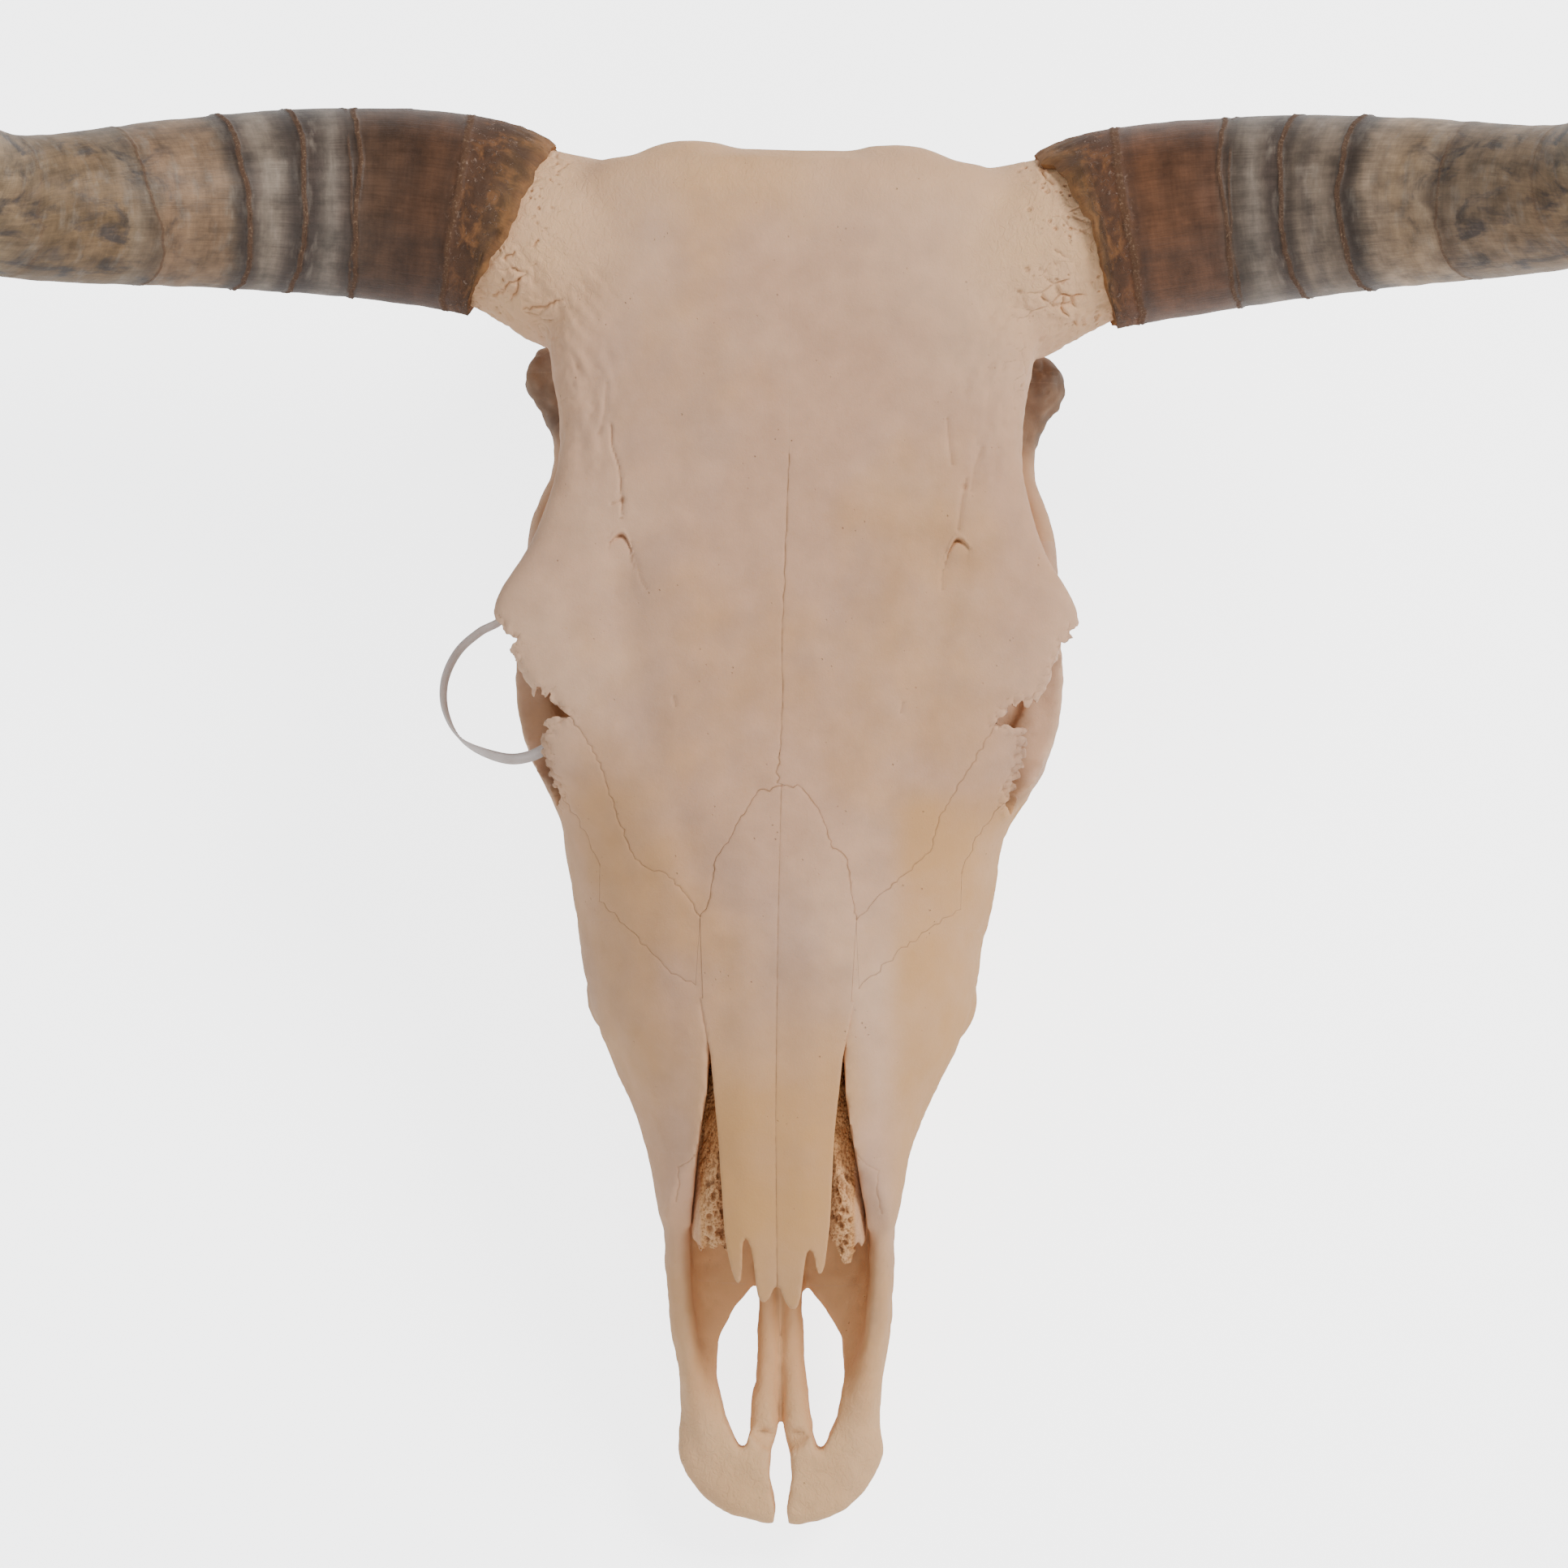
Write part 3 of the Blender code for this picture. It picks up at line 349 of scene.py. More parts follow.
# The head's volumes. Shells: along, half width, crown, widest level, keel, power above, power
# below, keel width. Members: across, along, height, radius across, radius in height.
head = {
    "roof": (
        (244.5, 46, -18, -27, -38, 2.2, 2.2, 0.9),
        (242, 66, -9, -28, -54, 2.5, 2.3, 0.9),
        (235, 84, -4, -31, -68, 3, 2.4, 0.9),
        (218, 90, -1, -33, -74, 3.2, 2.4, 0.85),
        (195, 93, 0, -31, -70, 3.4, 2.4, 0.8),
        (172, 94.5, -1, -27, -60, 3.8, 2.4, 0.75),
        (155, 92, -2, -24, -52, 4, 2.4, 0.7),
        (138, 89.5, -2, -22, -46, 4.2, 2.4, 0.7),
        (122, 90, -3, -21, -43, 4.2, 2.4, 0.7),
        (104, 94.5, -3, -20, -40, 4.2, 2.4, 0.75),
        (88, 101, -4, -19, -36, 4.2, 2.4, 0.8),
        (76, 109, -4, -18, -33, 4, 2.4, 0.85),
        (63, 113.8, -5, -17, -30, 3.8, 2.4, 0.85),
        (53, 109, -6, -16, -29, 3.8, 2.4, 0.85),
        (42, 103, -6, -16, -31, 3.8, 2.4, 0.8),
        (32, 97, -7, -17, -36, 3.6, 2.4, 0.8),
        (20, 95, -8, -20, -50, 3.3, 2.4, 0.8),
        (8, 94.5, -8.5, -30, -80, 3, 2.4, 0.8),
        (-6, 91, -9, -52, -118, 2.7, 2.4, 0.76),
        (-20, 86.5, -10, -64, -126, 2.5, 2.5, 0.74),
        (-40, 83.6, -11.5, -70, -127, 2.35, 2.6, 0.74),
        (-60, 79.6, -12.5, -71, -125, 2.3, 2.6, 0.76),
        (-82, 76, -14, -70, -121, 2.3, 2.6, 0.76),
        (-100, 70.6, -15, -71, -117, 2.3, 2.6, 0.78),
        (-120, 61.6, -17, -74, -113, 2.25, 2.6, 0.84),
        (-136, 54.6, -19, -68, -106, 2.2, 2.6, 0.88),
        (-152, 49.9, -22, -60, -98, 2.2, 2.6, 0.9),
        (-172, 47.1, -26, -58, -94, 2.2, 2.6, 0.92),
        (-190, 45.6, -30, -61, -94, 2.2, 2.6, 0.92),
        (-206, 44.6, -35, -64, -94, 2.2, 2.6, 0.92),
    ),
    "roofFused": 28,            # the last rows only roof the open nose
    "brainBox": (
        (240, 58, -34, -76, -116, 2.6, 2.4, 0.8),
        (234, 70, -30, -86, -132, 2.8, 2.4, 0.7),
        (214, 78, -30, -92, -146, 2.8, 2.4, 0.6),
        (190, 76, -30, -94, -148, 2.8, 2.4, 0.55),
        (165, 68, -30, -92, -146, 2.6, 2.4, 0.55),
        (140, 60, -30, -86, -141, 2.4, 2.4, 0.55),
        (110, 54, -28, -80, -136, 2.4, 2.4, 0.5),
        (80, 47, -26, -76, -132, 2.4, 2.4, 0.5),
        (50, 42, -24, -76, -132, 2.4, 2.4, 0.6),
        (25, 46, -24, -80, -134, 2.4, 2.4, 0.8),
        (0, 62, -24, -86, -134, 2.4, 2.4, 0.85),
        (-20, 66, -24, -86, -132, 2.4, 2.4, 0.85),
    ),
    "palateFront": (
        (-120, 58, -84, -96, -112, 2.6, 2.6, 0.9),
        (-140, 50, -78, -90, -105, 2.6, 2.6, 0.9),
        (-165, 47.1, -72, -86, -98, 2.6, 2.6, 0.9),
        (-190, 45.5, -72, -84, -95, 2.6, 2.6, 0.9),
        (-215, 43.8, -73, -83, -93, 2.6, 2.6, 0.9),
        (-235, 41, -72, -82, -91, 2.6, 2.6, 0.9),
        (-248, 40, -70, -80, -89, 2.6, 2.6, 0.9),
        (-258, 41, -69, -78, -87, 2.6, 2.6, 0.9),
        (-266, 41, -69, -77, -86, 2.6, 2.6, 0.9),
        (-274, 37.2, -70, -77, -85, 2.8, 2.8, 0.9),
        (-282, 30.7, -71, -77, -84, 3, 3, 0.9),
        (-288.5, 20.7, -72, -77, -83, 3, 3, 0.9),
        (-292, 9, -74, -77, -81, 3, 3, 0.9),
    ),
    "members": {
        "cheekArch": (
            (66, -40, -84, 14, 18), (75.5, -14, -80, 12.5, 19),
            (87.5, 4, -78, 10.5, 16), (97, 20, -77, 8.5, 15),
            (101.5, 38, -76, 6.5, 14), (101.2, 58, -78, 6, 13),
            (100.4, 80, -82, 5.5, 11.5), (97.2, 104, -85, 5.5, 10.5),
            (89, 126, -87, 5.5, 10), (90, 142, -87, 8, 10),
            (91, 157, -86, 13, 12), (78, 172, -86, 12, 13),
            (62, 182, -88, 10, 14)),
        "eyeRimRear": (
            (101, 67, -18, 9, 11), (102, 67.5, -34, 6.5, 9),
            (101.5, 67, -50, 6, 9.5), (100.5, 64, -68, 6, 12)),
        "eyeRimLow": (
            (84, -2, -60, 10, 12), (93, 9, -64, 7.5, 10),
            (99, 22, -66, 6, 8), (103, 38, -64, 5, 7),
            (103, 54, -60, 5, 8)),
        "hornCore": (
            (40, 190, -36, 30, 30), (72, 200.5, -37, 38, 33),
            (86, 204.5, -38, 38.5, 34), (98, 209, -38, 36.5, 34),
            (106, 212, -38, 35, 34), (122, 218, -38, 33.5, 33)),
        "noseWall": (
            (42, -132, -44, 7, 12), (39.8, -148, -52, 5.2, 14),
            (39.6, -168, -58, 5.2, 14), (39.3, -190, -64, 5.2, 14),
            (37.8, -212, -69, 5.2, 13), (34, -232, -73, 6.4, 11),
            (30, -248, -76, 8.6, 9), (26, -262, -77, 9.5, 8)),
        "jugular": (
            (58, 208, -122, 18, 15), (63.5, 207, -141, 11.5, 15),
            (65.5, 204, -159, 7, 14), (64, 201, -177, 5.2, 11.5),
            (60, 198.5, -195, 4.8, 9), (56, 197, -212, 4.6, 7)),
        "pterygoid": (
            (30, 0, -128, 7, 12), (27, 24, -134, 5, 14),
            (25, 46, -138, 4, 15), (23, 62, -138, 4.2, 13),
            (21.5, 78, -137, 4.6, 9.5), (20, 96, -136, 5, 6.5),
            (19, 112, -136, 5, 4.5)),
        "throatWall": (
            (31, 36, -126, 5, 7), (28, 64, -128, 5, 7),
            (25, 94, -130, 5, 7)),
        "toothBed": (
            (41, -148, -97, 7, 8), (43, -134, -104, 12.2, 16),
            (46, -110, -108, 13.4, 17), (48.5, -80, -114, 14.6, 19),
            (50, -45, -121, 15.2, 21), (50, -10, -127, 15.2, 21),
            (49, 18, -129, 13.6, 19)),
        "napeCrest": (
            (0, 241, -57, 6, 8), (24, 241.5, -53, 5, 6.5),
            (50, 238.5, -61, 4.4, 5.6), (69, 229, -80, 4.4, 5.4),
            (77, 213, -104, 4.4, 5.4)),
        "templeRidge": (
            (76, 200, -86, 4, 3.5), (84, 178, -82, 3.6, 3.4),
            (90, 160, -74, 3.5, 4)),
        "earTube": (
            (54, 182, -112, 8, 8), (68, 184, -110, 7.5, 7.5),
            (80, 186, -106, 7, 7)),
        "bullaSpur": (
            (42, 160, -154, 7, 6), (40, 149, -161, 4.4, 4),
            (38.5, 142, -166, 2.8, 2.6)),
    },
    "lumps": {                  # centre, radii
        "condyleTop": ((33, 227, -138), (13.5, 16, 15)),
        "condyleLow": ((25, 232, -157), (16, 14, 13)),
        "mastoidLobe": ((92, 158.6, -84), (15.8, 13.4, 12)),
        "lobeCorner": ((92, 145, -88), (9, 7.5, 9)),
        "earBulla": ((42, 168, -150), (12, 16, 17)),
        "cheekBoss": ((70, -84, -80), (8, 14, 10)),
        "eyeFloor": ((84, 22, -86), (21, 28, 10)),
        "pollBulge": ((39, 235.5, -22), (26, 12, 15)),
    },
    "middleLumps": (
        ((0, 236, -62), (20, 9, 16)),
        ((0, 150, -142), (24, 92, 15)),
        ((0, 228, -90), (5, 16, 30)),
    ),
}
hollows = {
    "nose": (
        (-92, 8, -42, -52, -62, 2.2, 2.2, 1),
        (-104, 24, -28, -54, -76, 2.2, 2.4, 1),
        (-126, 32, -24, -56, -82, 2.2, 2.6, 1),
        (-148, 34, -22, -58, -85, 2.2, 2.6, 1),
        (-172, 35, -20, -60, -86, 2.4, 2.8, 1),
        (-192, 35, -16, -62, -86, 2.6, 2.8, 1),
        (-214, 33, -12, -64, -85, 2.8, 2.8, 1),
        (-232, 27.5, -10, -64, -83, 2.8, 2.6, 1),
        (-248, 21, -10, -62, -79, 2.6, 2.4, 1),
        (-262, 10, -10, -58, -74, 2.4, 2.2, 1),
    ),
    "eyeSocket": ((94, 28, -45), (50, 30.5, 27)),
    "templePit": ((72, 110, -84), (15, 42, 26)),
    "middle": (
        ((0, 246, -134), (16.5, 40, 15)),
        ((0, 44, -146), (19, 44, 20)),
        ((0, -62, -142), (33, 92, 24)),
    ),
    "openingFloor": -47,      # how deep the nose is opened from above
    "noseOpening": ((28.4, -84), (26.7, -94), (26, -104), (26.8, -120),
                    (29.4, -137), (31.4, -149), (33.6, -165), (34.5, -176),
                    (34.5, -226)),
    "noseSlope": ((-143, 40), (-141, -26), (-156, -36), (-175, -47),
                  (-200, -54), (-220, -60), (-220, 40)),
    "fissure": ((9, -197), (12.5, -200.5), (19, -208), (24.5, -219), (25, -235),
                (22, -250), (16.5, -262.5), (14, -262), (10.5, -250), (9.6, -236),
                (8.8, -218), (7.6, -204)),
    "tipCleft": ((0.3, -246), (1.6, -254), (4.2, -262), (5, -272), (3, -280),
                 (2.2, -286), (3.6, -297)),
    "tunnels": {                # small openings for nerves and vessels, on both sides
        "infraorbital": ((60, -122, -82, 3.2, 4.6), (52, -116, -81, 3.2, 4.4),
                         (44, -108, -80, 3, 3.6)),
        "opticCanal": ((58, 60, -76, 5, 6), (44, 68, -80, 4.2, 4.8),
                       (32, 74, -84, 3.4, 3.6)),
        "earCanal": ((92, 187, -104, 4.2, 4.2), (78, 185.5, -107, 4, 4),
                     (66, 184, -110, 3, 3)),
        "palateHole": ((21, -44, -122, 3.2, 3), (21, -34, -114, 3, 3),
                       (21, -26, -108, 2.4, 2.4)),
    },
    "palatineBar": ((4.9, -160, -83, 4.2, 5), (4.9, -200, -82, 4.2, 5),
                    (5.2, -232, -80, 4.6, 5), (7, -254, -78, 5.6, 6)),
}
# Opening between the brow and the tear bone, with the broken fringe that the two edges have.
eyeNotch = {
    "low": -44,
    "spare": 1.2,               # left on until the fringe is cut
    "fringe": (1.1, 0.35),      # length and swing of its teeth
    1: ((128, 66), (113.2, 63.6), (109, 61.1), (110.3, 58.6), (106.2, 56.6), (104.7, 52.2),
        (103, 47.8), (101.2, 41.6), (99.2, 36.5), (97.7, 33), (95.8, 34.8), (94, 31.4),
        (92.4, 31.8), (91.4, 34.2), (89, 31.6), (87.6, 32.9), (86.3, 32), (85, 28.7),
        (82.9, 27.4), (81.6, 24.9), (83.4, 24.2), (85.9, 24.9), (88.4, 23.4), (92, 23.6),
        (93.4, 22.6), (91.4, 20.6), (94.4, 19), (92, 16.2), (94.3, 13.8), (91.2, 11.5),
        (93.5, 9.2), (90.2, 7.7), (91.6, 4.9), (88.3, 3.3), (89.9, 0.5), (86.8, -0.9),
        (88, -3.7), (85.6, -5.6), (88.6, -10.5), (94, -24), (128, -24)),
    -1: ((128, 64), (111.4, 60.9), (108.9, 58.1), (107.2, 55), (103.2, 53.2), (106.2, 49.4),
         (103.4, 46), (105.2, 42.6), (102.6, 40.4), (104, 37.6), (102.2, 41.4), (101, 36.4),
         (98.6, 31.8), (96.4, 31), (94.9, 34.9), (93.6, 35.4), (92.9, 32.4), (91.7, 31.2),
         (89.8, 33.2), (88.8, 29.2), (86.6, 28.3), (84.4, 25.4), (81.8, 24.1), (83.2, 23.6),
         (86.6, 24.2), (90.4, 22.9), (91.8, 20.8), (89.4, 18.9), (92.3, 17.2), (93.6, 14.2),
         (91.3, 11.9), (93.4, 9.8), (90.9, 8), (92.4, 5.4), (89.8, 3), (91.2, 0.8),
         (88.2, -0.5), (89.5, -2.7), (86.4, -3.9), (85.6, -6.3), (88.4, -11.5), (94, -24),
         (128, -24)),
}


def fuseHead():
    form = bmesh.new()
    for rows in (head["roof"][:head["roofFused"]], head["brainBox"], head["palateFront"]):
        addShell(form, rows)
    for lump in head["middleLumps"]:
        addLump(form, lump)
    for side in (1, -1):
        for course in head["members"].values():
            addMember(form, course, side)
        for lump in head["lumps"].values():
            addLump(form, lump, side)
    piece = newPiece("head", form)
    melt(piece, skull["voxel"], skull["softening"])
    return piece


def hollowHead(piece):
    def cut(build, *args):
        carve(piece, shape("tool", build, *args))

    cut(addShell, hollows["nose"], 40, 40)
    for lump in hollows["middle"]:
        cut(addLump, lump)
    for key, low in (("noseOpening", hollows["openingFloor"]), ("tipCleft", ground)):
        cut(addColumn, hollows[key] + mirrored(hollows[key]), low, sky)
    for side in (1, -1):
        cut(addSideColumn, hollows["noseSlope"], -2.0, reach, side)
        cut(addLump, hollows["eyeSocket"], side)
        rough = growOutline(eyeNotch[side], -eyeNotch["spare"])
        cut(addColumn, rough, eyeNotch["low"], sky, side)
        cut(addLump, hollows["templePit"], side)
        cut(addColumn, hollows["fissure"], ground, sky, side)
        for course in hollows["tunnels"].values():
            cut(addMember, course, side, 12, 16)
        carve(piece, shape("tool", addMember, hollows["palatineBar"], side, 12, 12), "UNION")
        cut(addRimPlane, side)
    melt(piece, skull["fineVoxel"], skull["fineSoftening"])
    for side in (1, -1):            # the broken edges of the brow stay crisp
        crisp = jagged(eyeNotch[side], *eyeNotch["fringe"], 30 + side)
        cut(addColumn, crisp, eyeNotch["low"], sky, side)
    keepLargest(piece)


# Horns

horn = {
    "length": 600.0,            # along the middle, rim to tip
    "girth": 37.0,              # radius that the surface pattern is wrapped on
    "root": (109.5, 213.3, -38.0),
    "lean": 3.0,                # the right horn heads this much higher, the left one lower
    # distance from the rim, heading towards the poll, rise out of the face, radius
    "course": ((0, 27, 0, 37.5), (8, 14, 1, 38.4), (20, 9, 2, 38.8),
               (45, 5, 5, 38.3), (60, 3.2, 9, 37.4), (75, 1.5, 14, 36.5),
               (105, -1, 22, 34.4), (135, -3.2, 29, 32.2), (160, -5, 35, 30.2),
               (178, -5, 39, 28.8), (193, -1.5, 42, 27.9), (206, 7, 45, 27.3),
               (219, 21, 48, 26.9), (233, 37, 51, 26.6), (250, 52, 53, 26.3),
               (272, 63, 54, 25.7), (300, 71, 53.5, 24.6), (335, 76, 52, 23),
               (385, 80, 49, 20.6), (440, 83, 45, 17), (500, 85, 42, 12.3),
               (560, 86, 39, 7), (600, 87, 38, 2)),
    "sides": 132,
    "fineStep": 0.75,           # spacing of the rings over the ridged stretch
    "fineEnd": 168.0,
    "coarseStep": 2.5,          # spacing beyond it
    "wall": 2.6,                # thickness at the rim
    "mouth": 26.0,              # depth of the open mouth
    "coreReach": 9.0,           # how far the bony core runs into it
    "rimSwing": {-1: -3.2, 1: 6.0},      # how far the rim draws back on the face side
    # ridges: distance, height, half width, share of the way round, slant towards the rim below
    "ridges": {
        -1: ((21.5, 0.5, 1.3, 0.9, 0), (44, 0.4, 0.8, 0.45, 0), (64, 0.75, 1.1, 1, 0),
             (67.5, 0.4, 0.8, 0.55, 1.5), (89, 0.85, 1.2, 1, 0), (116, 0.85, 1.2, 1, 5),
             (160, 0.45, 0.8, 0.85, 9), (214, 0.3, 1.6, 0.7, 9), (262, 0.3, 2, 0.6, 6)),
        1: ((20.5, 0.65, 1.6, 0.95, 0), (36, 0.3, 0.8, 0.3, 0), (62.5, 0.7, 1, 1, 0),
            (66, 0.4, 0.8, 0.5, 1), (89.5, 0.85, 1.2, 1, 0), (116, 0.9, 1.3, 1, 0),
            (161, 0.4, 0.8, 0.8, 0), (208, 0.3, 1.6, 0.7, 0), (258, 0.3, 2, 0.6, 0)),
    },
    "pit": {-1: (4.0, 6.4, 36.4)},       # worm hole by the rim
    "pitSize": (1.5, 1.6),      # radius, depth
    "flakyEnd": (6.0, 24.0),    # where the flaky skin behind the rim thins out and ends
    "smoothTip": (520.0, 590.0),         # where the relief fades away
}


def hornCourse(side, places):       # middle, heading and radius, as if it were the right horn
    table = np.array(horn["course"])
    step = horn["coarseStep"]
    middle = Vector(horn["root"])
    walked = [middle.copy()]
    headings = []
    for place in np.arange(0.0, horn["length"] + step, step):
        turn, rise = (np.interp(place, table[:, 0], table[:, k]) for k in (1, 2))
        lean = side * horn["lean"] * min(1.0, place / 60.0)
        a, b = math.radians(turn + lean), math.radians(rise)
        ahead = Vector((math.cos(a) * math.cos(b), math.sin(a) * math.cos(b), math.sin(b)))
        headings.append(ahead)
        middle = middle + ahead * step
        walked.append(middle.copy())
    at = np.arange(len(headings)) * step
    middles = np.array(walked[:-1])
    headings = np.array(headings)
    middles = np.stack([np.interp(places, at, middles[:, k]) for k in range(3)], axis=1)
    headings = np.stack([np.interp(places, at, headings[:, k]) for k in range(3)], axis=1)
    headings /= np.linalg.norm(headings, axis=1)[:, None]
    middles += headings * np.minimum(places, 0.0)[:, None]
    return middles, headings, np.interp(places, table[:, 0], table[:, 3])


def addRimPlane(form, side):        # trims the bony core square, a little inside the sheath
    middle, heading, _ = hornCourse(side, np.array([0.0]))
    ahead = Vector(heading[0])
    depth, radius = 40.0, 56.0
    start = Vector(middle[0]) + ahead * horn["coreReach"]
    turn = ahead.to_track_quat("Z", "Y").to_matrix().to_4x4()
    place = Matrix.Translation(start) @ turn @ Matrix.Translation((0, 0, depth / 2))
    flip = Matrix.Diagonal((side, 1.0, 1.0, 1.0))
    bmesh.ops.create_cone(form, cap_ends=True, segments=48, radius1=radius, radius2=radius,
                          depth=depth, matrix=flip @ place)


def hornPlaces():                   # stations from the bottom of the mouth, over the rim, to the tip
    inside = np.linspace(-horn["mouth"], -0.6, 24)
    lip = np.array([-0.3, 0.0])
    fine = np.arange(0.45, horn["fineEnd"], horn["fineStep"])
    coarse = np.arange(horn["fineEnd"], horn["length"] - 2.0, horn["coarseStep"])
    end = np.array([horn["length"] - 1.0, horn["length"]])
    return np.concatenate((inside, lip, fine, coarse, end))


def makeHorn(side, word):
    places = hornPlaces()
    rows, girth = len(places), horn["girth"]
    form = bmesh.new()
    bmesh.ops.create_grid(form, x_segments=rows - 1, y_segments=horn["sides"], size=1.0)
    column = np.array([round((vert.co.x + 1) / 2 * (rows - 1)) for vert in form.verts])
    turn = np.array([(vert.co.y + 1) / 2 for vert in form.verts]) * 2 * math.pi
    place = places[column]
    inside = place < 0
    depth = np.abs(place)
    straight = np.stack((depth, girth * np.cos(turn), girth * np.sin(turn)), axis=1)
    shown = depth + rimWander(side, straight, turn) * fade(-depth, -14.0, 0.0)
    middles, headings, radii = hornCourse(side, np.clip(shown, -6.0, horn["length"]))
    push, ridge, shade, band = hornRelief(side, depth, straight)
    radii = radii + push - 1.0 * fade(-depth, -2.2, 0.4)        # rounded lip
    radii = np.where(inside, radii - horn["wall"] - 0.06 * depth, radii)
    radii = np.where((column == 0) | (column == rows - 1), 0.05, radii)
    across = np.cross(headings, np.array((0.0, 0.0, 1.0)))
    across /= np.linalg.norm(across, axis=1)[:, None]
    raised = np.cross(across, headings)
    points = middles + across * (radii * np.cos(turn))[:, None]
    points += raised * (radii * np.sin(turn))[:, None]
    points[:, 0] *= side
    straightLayer = form.verts.layers.float_vector.new("straight")
    masks = [(form.verts.layers.float.new(key), values)
             for key, values in (("ridge", ridge), ("shade", shade), ("band", band))]
    for index, vert in enumerate(form.verts):
        vert.co = points[index]
        vert[straightLayer] = straight[index]
        for layer, values in masks:
            vert[layer] = values[index]
    bmesh.ops.remove_doubles(form, verts=form.verts, dist=0.02)
    return newPiece(f"hornSheath_{word}", form)


def rimWander(side, straight, turn):            # ragged edge, drawn back on the face side
    ragged = waves(straight * (0, 1, 1), (1.1, 9.0, 3 + side), (0.8, 2.6, 8 + side))
    faceSide = hump(turn - math.radians(85.0), math.radians(42.0))
    return ragged + horn["rimSwing"][side] * faceSide


def hornRelief(side, depth, straight):
    push, ridge, shade = (np.zeros(len(depth)) for _ in range(3))
    below = fade(straight[:, 1] / horn["girth"], -0.3, 1.0)
    slants = np.array([(item[0], item[4]) for item in horn["ridges"][side]])
    band = depth + below * np.interp(depth, slants[:, 0], slants[:, 1])
    band -= waves(straight * (0.1, 1, 1), (1.2, 14.0, 41))
    for index, (place, height, halfWidth, share, slant) in enumerate(horn["ridges"][side]):
        wander = waves(straight * (0, 1, 1), (1.2, 16.0, 40 + index), (0.6, 5.0, 60 + index),
                       (0.25, 2.0, 120 + index))
        course = depth - place - wander + slant * below
        frayed = halfWidth * (0.8 + waves(straight, (0.4, 2.4, 100 + index)))
        lips = hump(course + 0.55 * halfWidth, 0.55 * frayed)
        lips += 0.75 * hump(course - 0.75 * halfWidth, 0.6 * frayed)
        patchy = waviness(straight * (0.2, 1, 1), 20.0, 80 + index) * 0.5 + 0.5
        patchy = fade(patchy, 1.0 - share - 0.15, 1.0 - share + 0.15)
        rough = 0.7 + waves(straight, (0.5, 1.6, 90 + index))
        push += lips * height * rough * patchy
        tint = patchy * min(1.0, 1.6 * height)
        ridge = np.maximum(ridge, np.exp(-(course / (1.05 * halfWidth)) ** 4) * tint)
        shade = np.maximum(shade, hump(course - 4.0, 3.2) * patchy * min(1.0, height))
    thins, ends = horn["flakyEnd"]
    flaky = fade(-depth, -ends, -thins)
    flakes = np.round((waviness(straight * (0.7, 1, 1), 6.0, 21) + 0.2) * 2.0) / 2.0
    push += flaky * (0.4 * flakes + waves(straight, (0.28, 1.7, 22)))
    push += waves(straight * (0.45, 1, 1), (0.4, 24.0, 23)) - 0.4
    push += fade(depth, 0.0, 60.0) * waves(straight * (1.4, 0.25, 0.25), (0.22, 9.0, 24))
    if side in horn["pit"]:
        radius, deep = horn["pitSize"]
        hole = hump(np.linalg.norm(straight - np.array(horn["pit"][side]), axis=1), radius)
        push -= deep * hole * (depth > 0.5)
        shade = np.maximum(shade, 1.3 * hole)
    fades, smooth = horn["smoothTip"]
    return push * fade(-depth, -smooth, -fades), ridge, shade, band


# Roof of the nose

nose = {
    "thickness": 5.5,
    "layer": (8.0, -208.0, 36.0),        # start and end along, half width
    "below": -70.0,             # low end of the columns that cut it
    "past": -215.0,             # beyond the prongs
    "seatGap": 0.3,
    "voxel": 0.8,
    "spare": 1.4,               # cut off again along the seams
    "seam": {
        1: ((0, -0.8), (2, -0.6), (4.6, -1.4), (6.1, -0.2), (7.9, -1.4), (10.4, -4.1),
            (13.5, -8.2), (16.3, -13.2), (18, -17.6), (20.2, -24.2), (23.4, -25.6),
            (26, -28.6), (27, -35), (28.2, -43), (30, -51.5)),
        -1: ((0, -0.8), (2, -1), (4.4, -3), (6.6, -2.2), (9, -3), (10.6, -5.6),
             (13.2, -10.7), (15.7, -14), (17.5, -18), (19.7, -22.9), (22.2, -25.6),
             (24.7, -30.1), (25.2, -36.5), (26.2, -43), (27.6, -48.6), (30, -51.5)),
    },
    "edge": ((28.5, -83), (25.5, -105), (22.5, -135), (20.5, -170)),
    "prongs": {
        1: ((19.3, -179.5), (18.5, -185.5), (17.4, -188.8), (16.4, -189.6), (15.4, -188.2),
            (14.7, -184), (13.9, -180.6), (12.8, -179.6), (11.6, -180.8), (10.7, -185.5),
            (9.8, -192.5), (8.9, -198.8), (7.8, -202.4), (6.4, -203.6), (4.6, -202.8),
            (2.9, -200.4), (1.6, -196.8), (0.7, -193.4), (0, -192.4)),
        -1: ((19.9, -177), (18.9, -182.8), (17.6, -188.8), (16.2, -192.8), (15, -193.8),
             (14, -192.4), (13.5, -187), (13.2, -179.4), (12.5, -175.6), (11.4, -176),
             (10, -179.8), (9, -186), (8.4, -192.8), (7.6, -198.4), (6.3, -200.8),
             (4.6, -200.8), (2.8, -198.8), (1.4, -195.4), (0.6, -193), (0, -192.4)),
    },
}


def roofHeight(across, along):
    table = np.array(head["roof"])[::-1]
    row = [np.interp(along, table[:, 0], table[:, column]) for column in range(1, 6)]
    halfWidth, crown, widest, _, power = row
    share = np.minimum(np.abs(across) / halfWidth, 0.98) ** power
    return widest + (crown - widest) * (1.0 - share) ** (1.0 / power)


